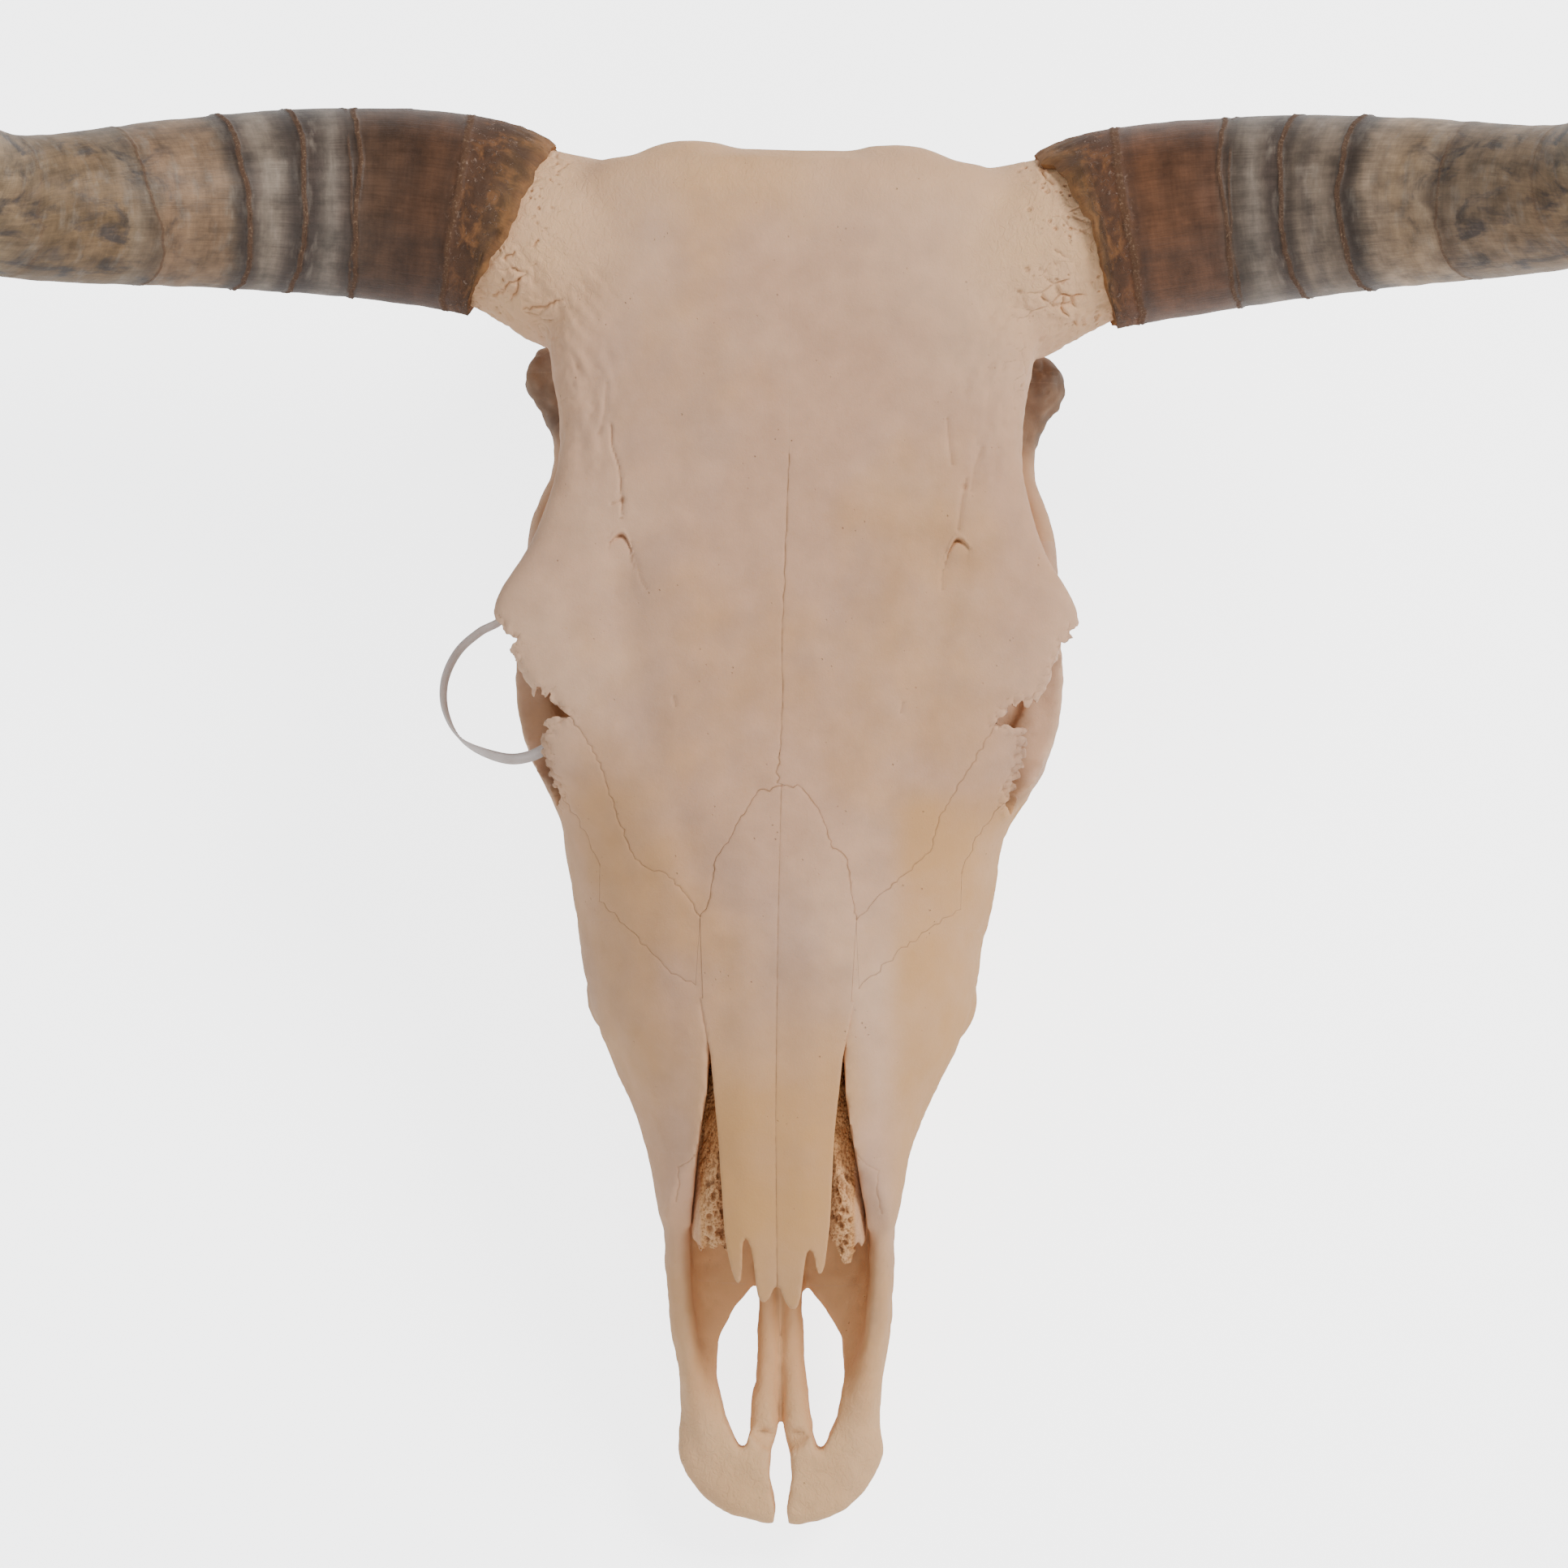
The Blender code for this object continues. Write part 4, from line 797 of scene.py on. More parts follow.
def addRoofLayer(form, liftTop, liftBottom, count=90, columns=37):
    rings = []
    start, end, halfWidth = nose["layer"]
    for along in np.linspace(start, end, count):
        places = np.linspace(-halfWidth, halfWidth, columns)
        levels = roofHeight(places, along)
        top = [Vector((u, along, w + liftTop)) for u, w in zip(places, levels)]
        low = [Vector((u, along, w + liftBottom)) for u, w in zip(places, levels)]
        rings.append(top + low[::-1])
    skinRings(form, rings)


def makeNasal(skullPiece, side, word):
    seam = seams["naso"][side] + nose["edge"][:1]
    outline = seam + nose["edge"][1:] + nose["prongs"][side]
    rim = growOutline(outline, nose["spare"])[:len(seam)]
    rough = [(point.x, point.y) for point in rim[1:]] + list(nose["edge"][1:])
    rough += list(nose["prongs"][side]) + [(-nose["spare"], -198.0), (-nose["spare"], 1.0)]
    bone = shape(f"nasalBone_{word}", addRoofLayer, 0.2, -nose["thickness"])
    low, past, wide = nose["below"], nose["past"], nose["layer"][2]
    carve(bone, shape("tool", addColumn, rough, low, sky, side), "INTERSECT", "EXACT")
    melt(bone, nose["voxel"], 2)
    start = skull["seamGap"] / 2
    crisp = [(max(across, start), along) for across, along in seam]
    crisp += [(wide, -84.0), (wide, past), (start, past)]
    carve(bone, shape("tool", addColumn, crisp, low, sky, side), "INTERSECT")
    seat = shape("tool", addRoofLayer, sky, -nose["thickness"] - nose["seatGap"])
    grown = growOutline(outline, skull["seamGap"])
    carve(seat, shape("tool", addColumn, grown, low, sky, side), "INTERSECT", "EXACT")
    carve(skullPiece, seat)
    return bone


# Seams between bones seen from above, and how the head parts along them

seams = {
    "naso": {side: jagged(nose["seam"][side], 1.5, 0.35, 5 + side) for side in (1, -1)},
    "eyeToNose": {
        1: jagged(((81.9, 24.9), (73, 9.5), (61.5, -10), (57.5, -25), (49, -33),
                   (41, -40), (30, -51.5)), 1.8, 0.6, 11),
        -1: jagged(((81.8, 24.1), (71.5, 9.5), (63.5, -12), (58.5, -24.5), (56, -30),
                    (50, -34), (43.5, -35.5), (36, -43), (30, -51.5)), 1.8, 0.6, 12),
    },
    "tearToJaw": {
        1: jagged(((31.5, -78), (45, -65), (60, -53), (70, -47)), 2, 0.9, 13),
        -1: jagged(((31.5, -78), (41, -74), (57, -58), (70, -47)), 2, 0.9, 14),
    },
    "tearToCheek": {
        1: jagged(((70, -33), (75, -19), (85.6, -5.6)), 2.4, 0.8, 15),
        -1: jagged(((70, -33), (76, -20), (85.6, -6.3)), 2.4, 0.8, 16),
    },
    # the middle of the forehead; the join above it has closed
    "brow": jagged(((0, 126), (-0.6, 84), (-1, 50), (-0.2, 30), (-0.9, 12)),
                   3.2, 0.3, 17) + jagged(((-0.9, 12), (-1.6, 0.5)), 1.8, 0.9, 18),
    "step": {                   # upper end of the premaxilla, where it laps over the jaw
        1: jagged(((40.4, -166), (38.6, -157), (39.6, -149), (35, -146.4), (31.5, -143),
                   (28.5, -139.5)), 1.4, 0.3, 19),
        -1: jagged(((39.4, -163), (37.8, -156), (38.4, -149.4), (34, -147), (28.4, -142)),
                   1.4, 0.3, 20),
    },
    "browFloor": -49.2,         # how deep the forehead's bones reach
    "tearFloor": -48,
    "root": ((34, 256), (46, 176), (64, 160), (136, 160), (136, 256)),
    "rootLevels": (-78, -20),        # the forehead's bones round the horn cores
    "closedAbove": 128,
    "cheekInner": 64,         # where the cheekbone's region starts across
    "premaxillaSide": ((-300, 40), (-141, 40), (-144, -40), (-149, -50),
                       (-160, -60), (-196, -74), (-204, -120), (-300, -120)),
    "cheekSide": ((-52, 40), (-55, -50), (-58, -60), (-54, -76), (-57, -88),
                  (-50, -100), (0, -106), (98, -106), (98, -46), (24, -46),
                  (2, -40), (2, 40)),
    "jawSide": ((-300, 40), (-20, 40), (-20, -50), (-10, -62), (-2, -80),
                (8, -86), (27, -98), (30, -230), (-300, -230)),
}


def take(skullPiece, name, regions):
    bone = skullPiece.copy()
    bone.data = skullPiece.data.copy()
    bone.name = name
    bpy.context.scene.collection.objects.link(bone)
    carve(bone, joinRegions(regions, False), "INTERSECT")
    carve(skullPiece, joinRegions(regions, True))
    keepLargest(bone)
    keepLargest(skullPiece)
    return bone


def joinRegions(regions, grown):
    joined = None
    for build, outline, low, high, side, gap in regions:
        if grown:
            low, high = low - skull["closedGap"], high + skull["closedGap"]
            outline = [closedUp(build, point) for point in growOutline(outline, gap)]
        block = shape("region", build, outline, low, high, side)
        if joined is None:
            joined = block
        else:
            carve(joined, block, "UNION", "EXACT")
    return joined


def closedUp(build, point):         # the forehead's halves have grown together by the poll
    if build is addColumn and abs(point.x) < 1.0 and point.y > seams["closedAbove"]:
        return Vector((-skull["closedGap"], point.y))
    return point


def nearLimit(side):
    return skull["seamGap"] / 2 if side > 0 else -3.0


def sideRegions(outline, inner, side):
    return [(addSideColumn, seams[outline], inner, reach, side, skull["closedGap"])]


def browRegions(side):
    if side > 0:
        middle = [(skull["seamGap"] * 0.1, 262.0), (skull["seamGap"] * 0.1, 130.0)]
        middle += [(across + skull["seamGap"] / 2, along) for across, along in seams["brow"]]
    else:
        middle = [(-4.0, 262.0), (-4.0, -3.0)]
    brow = middle + list(seams["naso"][side][2:]) + list(seams["eyeToNose"][side][::-1])[1:]
    brow += [(130.0, 24.0), (130.0, 262.0)]
    return [(addColumn, brow, seams["browFloor"], sky, side, skull["seamGap"]),
            (addColumn, seams["root"], *seams["rootLevels"], side, skull["closedGap"])]


def tearRegions(side):
    outline = list(seams["eyeToNose"][side]) + list(seams["tearToJaw"][side])
    outline += list(seams["tearToCheek"][side]) + [(101.0, -8.0), (108.0, 25.0)]
    return [(addColumn, outline, seams["tearFloor"], sky, side, skull["seamGap"])]


# Fine relief of the bone, in millimetres along the surface normal

relief = {
    "grooves": (                # course seen from above, half width, depth
        (((-68.5, 136), (-68, 128), (-65, 119), (-64.2, 110), (-63.4, 102)), 0.6, 0.7),
        (((-73, 133), (-71, 140), (-70, 152)), 1, 0.5),
        (((-63.6, 108), (-65.4, 106.4), (-67.4, 106)), 0.8, 0.8),
        (((-60, 91), (-57.6, 84), (-55.6, 76.5), (-53.4, 73.6)), 0.8, 0.35),
        (((60.5, 141), (61.5, 131), (62.5, 124)), 0.9, 0.6),
        (((68, 118), (66.6, 110), (65.4, 99)), 0.9, 0.7),
        (((74, 130), (71, 122), (70, 114)), 1.2, 0.5),
        (((61, 90), (59.4, 83), (59.8, 76)), 0.9, 0.4),
        (((-62, 84), (-58, 52), (-50, 12), (-39, -12), (-33, -34)), 8, 1.5),
        (((62, 84), (58, 50), (49, 12), (38, -14), (33, -34)), 8, 1.5),
        (((-42, 32.5), (-41.3, 29)), 0.8, 0.45),
        (((46, 32), (45.2, 28.4)), 0.8, 0.45),
    ),
    "cracks": (                 # in the bone behind the sheaths
        ((-98, 197), (-104.5, 191.5), (-108, 190.5), (-111.3, 186.5), (-115, 185.3)),
        ((-104.5, 191.5), (-105.4, 187), (-109.6, 183)), ((-101.5, 194), (-107, 195.4)),
        ((-97, 206), (-101, 202.6), (-104, 202)), ((-110, 199), (-106, 201.5)),
        ((-85.5, 238.5), (-88.6, 236), (-90.5, 234)), ((-91, 238), (-94, 235.5)),
        ((-88, 184), (-95, 181), (-103, 180.5)),
        ((96, 188.6), (101, 185), (104, 184.5), (110, 179)),
        ((104, 184.5), (105.6, 190), (109, 192)),
        ((101, 206.4), (105, 204), (108.5, 201)),
        ((95.5, 238.5), (97, 235), (99.6, 233)), ((106, 212), (109, 208)),
    ),
    "hoods": ((-63.6, 94.6), (65.2, 95.4)),     # over the openings in the brow: across, along
    "pits": (                   # across, along, radius, depth
        (-63.8, 106.9, 1.1, 1), (-63.4, 100.4, 0.8, 0.7), (-64.6, 72, 0.8, 0.7),
        (67.3, 115.3, 1.2, 0.9), (-89.8, 236.9, 1.3, 1.1), (-92, 219, 1, 0.8),
    ),
    # soft swellings and rough patches: height, size, seed
    "swell": ((0.55, 34, 1), (0.28, 13, 2), (0.10, 5, 3)),
    "under": ((0.5, 9, 36), (0.3, 3.6, 37)),
    "lobes": ((1.2, 5.5, 38), (0.5, 2.8, 39)),
    "wrinkles": 0.5,            # height
    "turnIn": (139, 0.009),   # where the wrinkles start to bend inwards, how fast
    "seams": {"naso": (0.7, 0.25), "eyeToNose": (0.55, 0.25), "tearToJaw": (0.4, 0.2),
              "tearToCheek": (0.4, 0.22), "step": (0.4, 0.4)},          # stain, depth
    "middleSeams": ((seams["brow"], 0.75, 0.22), (((0, 0), (0, -200)), 0.6, 0.12),
                    (((0, -190), (0, -246)), 0.4, 0.2)),
    "crackStep": (1.2, 0.6),    # length and swing of a crack's teeth
    "seamWidth": 0.45,
    "noseRidge": (11.5, 8, 25, 70),       # across, half width, where it starts and is full
}
crackCourses = [jagged(line, *relief["crackStep"], 60 + index)
                for index, line in enumerate(relief["cracks"])]
# Zones of the bone: what is measured, where the zone starts and where it is full.
zones = {
    "face": (("height", -62, -52),),
    "under": (("height", -40, -70),),
    "hornRoot": (("away", 70, 98), ("along", 128, 166), ("height", -92, -70),
                 ("rim", 14, 9)),
    "rim": (("rim", -22, -10), ("rim", 11, 8), ("height", -56, -44)),
    "browEdge": (("away", 56, 76), ("along", 100, 134), ("along", 206, 184),
                 ("height", -44, -30)),
    "lobes": (("along", 126, 140), ("along", 178, 166), ("away", 76, 86),
              ("height", -58, -70)),
    "base": (("height", -92, -112), ("along", 40, 70)),
    "poll": (("along", 200, 240), ("height", -60, -40)),
    "tip": (("along", -200, -262), ("height", -92, -84)),
    "noseInside": (("away", 37.5, 33), ("along", -92, -104), ("along", -262, -226),
                   ("height", -40, -60), ("height", -92, -84)),
    "lowNose": (("along", -55, -150), ("away", 36, 22)),
    "front": (("along", -150, -200),),
    "cheeks": (("away", 38, 52), ("along", 6, -10)),
    "spongyPlate": (("away", 29.3, 30.6), ("along", -112, -124)),
    "lace": (("along", -128, -160), ("away", 29.5, 27.5)),
    "spongyEnd": (("along", -166, -184),),
}


# How near a mark the faces are halved, once and twice.
detailReach = {"seam": (1.9, 1.0), "crack": 1.8, "groove": 2.4, "hood": 3.5, "broadGroove": 4,
               "rim": (-13, 3, -48), "hornRoot": 0.55, "browEdge": 0.5}


def rimPlace(points):               # distance beyond the plane of the sheath's rim
    across, along, _ = horn["root"]
    return (np.abs(points[:, 0]) - across) * 0.95 + (points[:, 1] - along) * 0.3


def zone(points, name):             # 1 inside, 0 outside, with soft borders
    measures = {"away": np.abs(points[:, 0]), "along": points[:, 1], "height": points[:, 2],
                "rim": rimPlace(points)}
    inside = np.ones(len(points))
    for measure, start, full in zones[name]:
        inside *= fade(measures[measure], start, full)
    return inside


def wrinkles(points, seed):         # soft ridges that run down and turn inwards
    start, bend = relief["turnIn"]
    over = np.abs(points[:, 0]) - bend * np.maximum(points[:, 1] - start, 0.0) ** 2
    over += waves(points, (1.5, 9.0, seed + 2))
    field = np.stack((over, points[:, 1] * 0.36, points[:, 2] * 0.6), axis=1)
    folds = waviness(field, 3.6, seed) - 0.7 * np.abs(waviness(field, 5.2, seed + 3))
    return folds + waves(points, (0.45, 2.4, seed + 1)) + 0.15


def seamLines():                    # every seam seen from above: course, stain, depth
    lines = []
    for side in (1, -1):
        for key, marks in relief["seams"].items():
            course = [(side * across, along) for across, along in seams[key][side]]
            lines.append((course, *marks))
    return lines + list(relief["middleSeams"])


def roofNormals(points):
    across, along, step = points[:, 0], points[:, 1], 0.5
    slopes = [roofHeight(across + step, along) - roofHeight(across - step, along),
              np.array(roofHeight(across, along + step)) - roofHeight(across, along - step)]
    normals = np.stack((-slopes[0], -slopes[1], np.ones(len(points))), axis=1)
    return normals / np.linalg.norm(normals, axis=1)[:, None]


def sculpt(piece, upright=False):
    points, normals = readPoints(piece)
    if upright:                     # the edges keep their outline
        normals = roofNormals(points)
    up = fade(normals[:, 2], 0.15, 0.6) * zone(points, "face")
    push = waves(points, *relief["swell"]) + up * (markRelief(points) + hoodRelief(points))
    push += notchRelief(points) + rootRelief(points)
    push += zone(points, "browEdge") * relief["wrinkles"] * wrinkles(points, 35)
    for key in ("under", "lobes"):
        push += zone(points, key) * waves(points, *relief[key])
    if upright:
        points[:, 2] += push / normals[:, 2]
    else:
        points += normals * push[:, None]
    movePoints(piece, points)


def markRelief(points):             # grooves, pits, seams, the ridge along the nose, cracks
    push = np.zeros(len(points))
    for line, halfWidth, depth in relief["grooves"]:
        push -= depth * hump(lineDistance(points, line), halfWidth)
    for across, along, radius, depth in relief["pits"]:
        push -= depth * hump(np.hypot(points[:, 0] - across, points[:, 1] - along), radius)
    uneven = 0.75 + waves(points, (0.45, 6.0, 71))
    for line, _, depth in seamLines():
        push -= uneven * depth * hump(lineDistance(points, line), relief["seamWidth"])
    across, halfWidth, start, full = relief["noseRidge"]
    push += fade(-points[:, 1], start, full) * hump(np.abs(points[:, 0]) - across, halfWidth)
    for line in crackCourses:       # with a raised lip on both sides
        gap = lineDistance(points, line)
        push -= 0.9 * fade(uneven, 0.5, 0.9) * hump(gap, 0.5)
        push += 0.35 * hump(gap - 1.6, 1.1) * (2.0 * uneven - 1.0)
    return push


def hoodRelief(points):             # an arched lip, the step down below it and the opening
    push = np.zeros(len(points))
    for across, along in relief["hoods"]:
        aside, below = underHood(points, across, along)
        step = fade(below, -0.3, 0.8) * np.exp(-np.maximum(below, 0.0) / 5.0)
        step *= fade(-np.abs(aside), -6.5, -3.5)
        mouth = hump(aside, 2.1) * hump(below - 0.9, 0.8)
        lip = hump(below + 0.9, 1.1) * fade(-np.abs(aside), -6.0, -3.0)
        push += 0.3 * lip - 1.2 * step - 1.8 * mouth
    return push


def notchRelief(points):            # crumbly edges beside the eye sockets
    crumbs = 0.75 * fade(cellDistance(points, 3.4, 47), 0.8, 0.3) - 0.4
    return nearNotch(points) * (crumbs + waves(points, (0.25, 1.8, 48)))


def rootRelief(points):             # knobs, cracks and small holes behind the sheaths
    low = 0.3 + 0.7 * fade(-points[:, 1], -206.0, -186.0)
    knobs = waves(points, (0.8, 7.0, 31)) - 0.5 * np.abs(waviness(points, 3.4, 32))
    holes = fade(cellDistance(points, 5.5, 33), 0.30, 0.12)
    holes *= fade(waviness(points, 15.0, 34), 0.1, 0.5)
    cracks = crackLines(points * (1, 1.6, 1), 9.0, 40) * fade(waviness(points, 11.0, 41), 0.1, 0.5)
    push = zone(points, "hornRoot") * (low * (knobs - 0.5 * cracks) - 1.1 * holes)
    fineHoles = fade(cellDistance(points, 3.0, 43), 0.34, 0.16)
    fineHoles *= fade(waviness(points, 7.0, 44), 0.0, 0.4)
    atRim = waves(points, (0.5, 2.6, 45)) * low - 0.6 * (0.4 + low) * cracks - 0.8 * fineHoles
    return push + zone(points, "rim") * atRim


def underHood(points, across, along):       # aside of the hood's top and below its arched edge
    aside, ahead = points[:, 0] - across, points[:, 1] - along
    bend = np.where(aside * across < 0, 0.42, 0.17)
    return aside, -ahead - bend * aside**2


def nearNotch(points):              # 1 on the broken edges beside the eye sockets
    nearest = np.full(len(points), beyond)
    for side in (1, -1):
        line = [(side * across, along) for across, along in eyeNotch[side][1:-1]]
        nearest = np.minimum(nearest, lineDistance(points, line))
    return fade(-nearest, -4.5, -1.5) * fade(points[:, 2], -46.0, -40.0)


def detail(points):                 # how many times the faces are halved for small features
    seen = fade(points[:, 2], -62.0, -56.0)
    seamGap, crackGap, grooveGap = (np.full(len(points), beyond) for _ in range(3))
    for line, _, _ in seamLines()[:-1]:
        seamGap = np.minimum(seamGap, lineDistance(points, line))
    for line in relief["cracks"]:
        crackGap = np.minimum(crackGap, lineDistance(points, line))
    for line, halfWidth, _ in relief["grooves"]:
        if halfWidth < detailReach["broadGroove"]:
            grooveGap = np.minimum(grooveGap, lineDistance(points, line))
    for across, along in relief["hoods"]:
        gap = np.hypot(points[:, 0] - across, points[:, 1] - along + 2.0)
        crackGap = np.minimum(crackGap, gap - detailReach["hood"])
    once, twice = detailReach["seam"]
    fine = (seamGap < once).astype(float) + (seamGap < twice)
    fine = np.maximum(fine, (crackGap < detailReach["crack"]) * 2.0)
    fine = np.maximum(fine, grooveGap < detailReach["groove"])
    broad = nearNotch(points) > 0.5
    for key in ("hornRoot", "browEdge"):
        broad = np.maximum(broad, zone(points, key) > detailReach[key])
    place = rimPlace(points)
    start, end, low = detailReach["rim"]
    rim = (place > start) & (place < end) & (points[:, 2] > low)
    return np.maximum(np.maximum(fine * (seen > 0.5), broad), rim * 2.0)


def refine(piece, level):           # halves the faces where more detail is wanted
    form = bmesh.new()
    form.from_mesh(piece.data)
    points = np.array([vert.co for vert in form.verts])
    chosen = detail(points) > level
    form.verts.ensure_lookup_table()
    edges = [edge for edge in form.edges
             if chosen[edge.verts[0].index] and chosen[edge.verts[1].index]]
    bmesh.ops.subdivide_edges(form, edges=edges, cuts=1, use_grid_fill=True, smooth=0.0)
    bmesh.ops.triangulate(form, faces=[face for face in form.faces if len(face.verts) > 4])
    form.to_mesh(piece.data)
    form.free()


def addMasks(piece):
    points, normals = readPoints(piece)
    face, lobes = zone(points, "face"), zone(points, "lobes")
    storeMask(piece, "stain", stainOf(points, face))
    # curvature: the material darkens its hollows with dirt and painted shade
    storeMask(piece, "cavity", cavityOf(piece, points, normals))
    rootAcross, rootAlong, _ = horn["root"]
    root = np.hypot(np.abs(points[:, 0]) - rootAcross - 2.5, points[:, 1] - rootAlong - 0.7)
    cream = fade(root, 66.0, 20.0) * fade(points[:, 2], -70.0, -50.0)
    for key, share in (("poll", 0.55), ("tip", 0.9)):
        cream = np.maximum(cream, share * zone(points, key))
    storeMask(piece, "cream", cream)
    # brown inside the sockets and temples: stain and painted shade
    storeMask(piece, "deep", socketShadeAndStain(points))
    storeMask(piece, "amber", zone(points, "noseInside"))
    # painted shade: dark grey-brown under the brow's lobes and on the skull's base
    storeMask(piece, "shadeBelow", np.maximum(lobes, 0.75 * zone(points, "base")))
    cheeks = zone(points, "cheeks") * np.where(points[:, 0] > 0, 0.85, 0.4)
    warm = np.maximum(zone(points, "lowNose"), 0.6 * zone(points, "front"))
    storeMask(piece, "warm", np.maximum(warm, cheeks))


def stainOf(points, face):          # brown lines in seams and cracks, and painted shade in the openings under the hoods
    stain = np.zeros(len(points))
    up = fade(points[:, 2], -110.0, -86.0)
    for line, strength, _ in seamLines():
        stain = np.maximum(stain, up * strength * fade(lineDistance(points, line), 0.65, 0.1))
    uneven = fade(waviness(points, 6.0, 71), -0.5, 0.3)
    for line in crackCourses:
        shown = fade(lineDistance(points, line), 0.6, 0.0)
        stain = np.maximum(stain, 0.5 * uneven * shown * face)
    # the openings under the hoods are darkened: painted shade
    for across, along in relief["hoods"]:
        aside, below = underHood(points, across, along)
        mouth = hump(aside, 2.0) * hump(below - 1.0, 0.7)
        stain = np.maximum(stain, 0.9 * mouth * face)
    return stain


def cavityOf(piece, points, normals):
    ends = np.empty(len(piece.data.edges) * 2, dtype=np.int64)
    piece.data.edges.foreach_get("vertices", ends)
    a, b = ends[::2], ends[1::2]
    run = points[b] - points[a]
    length = np.maximum(np.linalg.norm(run, axis=1), 1e-6)
    rise = np.einsum("ij,ij->i", run, normals[a]) / length
    fall = -np.einsum("ij,ij->i", run, normals[b]) / length
    total = np.bincount(a, rise, len(points)) + np.bincount(b, fall, len(points))
    count = np.bincount(a, minlength=len(points)) + np.bincount(b, minlength=len(points))
    return np.clip(total / np.maximum(count, 1) * 2.2, -1.0, 1.0) * 0.5 + 0.5


def socketShadeAndStain(points):            # warm brown inside the sockets and temples: stain and painted shade
    inside = np.zeros(len(points))
    away = np.abs(points[:, 0])
    for middle, radii in (hollows["eyeSocket"], hollows["templePit"]):
        gap = (away - middle[0]) / radii[0]
        ring = np.sqrt(gap**2 + ((points[:, 1] - middle[1]) / radii[1]) ** 2
                       + ((points[:, 2] - middle[2]) / radii[2]) ** 2)
        inside = np.maximum(inside, fade(-ring, -1.24, -1.04) * fade(-away, -99.0, -88.0))
    return inside


def settle(piece, bend=True):       # bends the piece with the crooked head and lays it in the room
    points, _ = readPoints(piece)
    if bend:
        along, across = zip(*skull["drift"])
        points[:, 0] += np.interp(points[:, 1], along, across)
    spot = np.array(toRoom)
    points = points @ spot[:3, :3].T + spot[:3, 3]
    movePoints(piece, points)
    piece.data.shade_smooth()
    piece.data.set_sharp_from_angle(angle=math.radians(50.0))


# Teeth, spongy bone and the tie

teeth = {
    # along the row, width, middle across, lobes
    "row": ((17, 16, 43.5, 1), (19, 19, 45.5, 1), (19, 21, 47.5, 1),
            (26, 24, 49, 2), (29, 25, 50, 2), (31, 23, 49.5, 2)),
    "front": -134.0,
    "gap": 0.8,
    "rise": 34.0,
    "points": 56,
    "sunk": 12.0,               # made too long, then cut by the floor
    "swell": (0.10, 0.03, 9.0), # narrowing to the root, then waves up the crown: height, turns
    "innerRibs": (0.14, 0.07, 0.12),     # fold, fine rib and its half width
    "outerRibs": (0.26, 0.6),   # fold and its sharpness
    "corners": (7, 5),          # squareness of the inner and the outer side
    "wear": (1.4, 0.8, 1.6),    # enamel rim, slope inside it, depth of the worn hollow
    "floorGap": 0.0003,         # metres
}


def addTooth(form, front, length, width, across, lobes, side):
    half = teeth["points"] // 2
    middle = front + length / 2
    lift = skull["drop"] + middle * math.sin(math.radians(skull["tiltDeg"]))
    bottom = -lift - teeth["sunk"]
    narrowing, wave, turns = teeth["swell"]
    fold, fine, halfWidth = teeth["innerRibs"]
    outerFold, sharpness = teeth["outerRibs"]
    inner, outer = teeth["corners"]
    rings = []
    for level in np.linspace(0.0, 1.0, 14):
        swell = 1.0 - narrowing * level + wave * math.sin(turns * level)
        ring = []
        for k in range(half):
            t = -1.0 + 2.0 * (k + 0.5) / half
            rib = 1.0 - fold + fold * math.cos(2 * math.pi * lobes * (t + 1) / 2)
            rib += fine * math.exp(-((abs((t + 1) / 2 * lobes % 1.0 - 0.5) / halfWidth) ** 2))
            corner = (1.0 - abs(t) ** inner) ** 0.5
            ring.append((width / 2 * rib * corner * swell, length / 2 * t))
        for k in range(half):
            t = 1.0 - 2.0 * (k + 0.5) / half
            bulge = abs(math.sin(math.pi * lobes * (t + 1) / 2)) ** sharpness
            bulge = 1.0 - outerFold + outerFold * bulge
            corner = (1.0 - abs(t) ** outer) ** 0.5
            ring.append((-width / 2 * bulge * corner * swell, length / 2 * t))
        rings.append([(side * (across + u), middle + v, bottom + level * teeth["rise"])
                      for u, v in ring])
    skinRings(form, rings)


def makeTeeth(side, word):
    form = bmesh.new()
    front = teeth["front"]
    for length, width, across, lobes in teeth["row"]:
        addTooth(form, front, length - teeth["gap"], width, across, lobes, side)
        front += length
    bmesh.ops.recalc_face_normals(form, faces=form.faces)
    floorSpot = toRoom.inverted() @ Vector((0, 0, teeth["floorGap"]))
    floorWay = (toRoom.inverted().to_3x3() @ Vector((0, 0, -1))).normalized()
    cut = bmesh.ops.bisect_plane(form, geom=form.verts[:] + form.edges[:] + form.faces[:],
                                 dist=0.001, plane_co=floorSpot, plane_no=floorWay,
                                 clear_outer=True)
    edges = [item for item in cut["geom_cut"] if isinstance(item, bmesh.types.BMEdge)]
    bottoms = bmesh.ops.holes_fill(form, edges=edges, sides=0)["faces"]
    rim, slope, depth = teeth["wear"]
    bmesh.ops.inset_individual(form, faces=bottoms, thickness=rim)
    bmesh.ops.inset_individual(form, faces=bottoms, thickness=slope)
    inner = list({vert for face in bottoms for vert in face.verts})
    bmesh.ops.translate(form, verts=inner, vec=-floorWay * depth)
    piece = newPiece(f"cheekTeeth_{word}", form)
    points, normals = readPoints(piece)
    rough = waves(points * (1, 1, 0.3), (0.12, 3.4, 51)) + waves(points, (0.05, 1.4, 52))
    bottomLevel = (points - np.array(floorSpot)) @ np.array(-floorWay)
    movePoints(piece, points + normals * (rough * fade(bottomLevel, 0.5, 3.0))[:, None])
    return piece


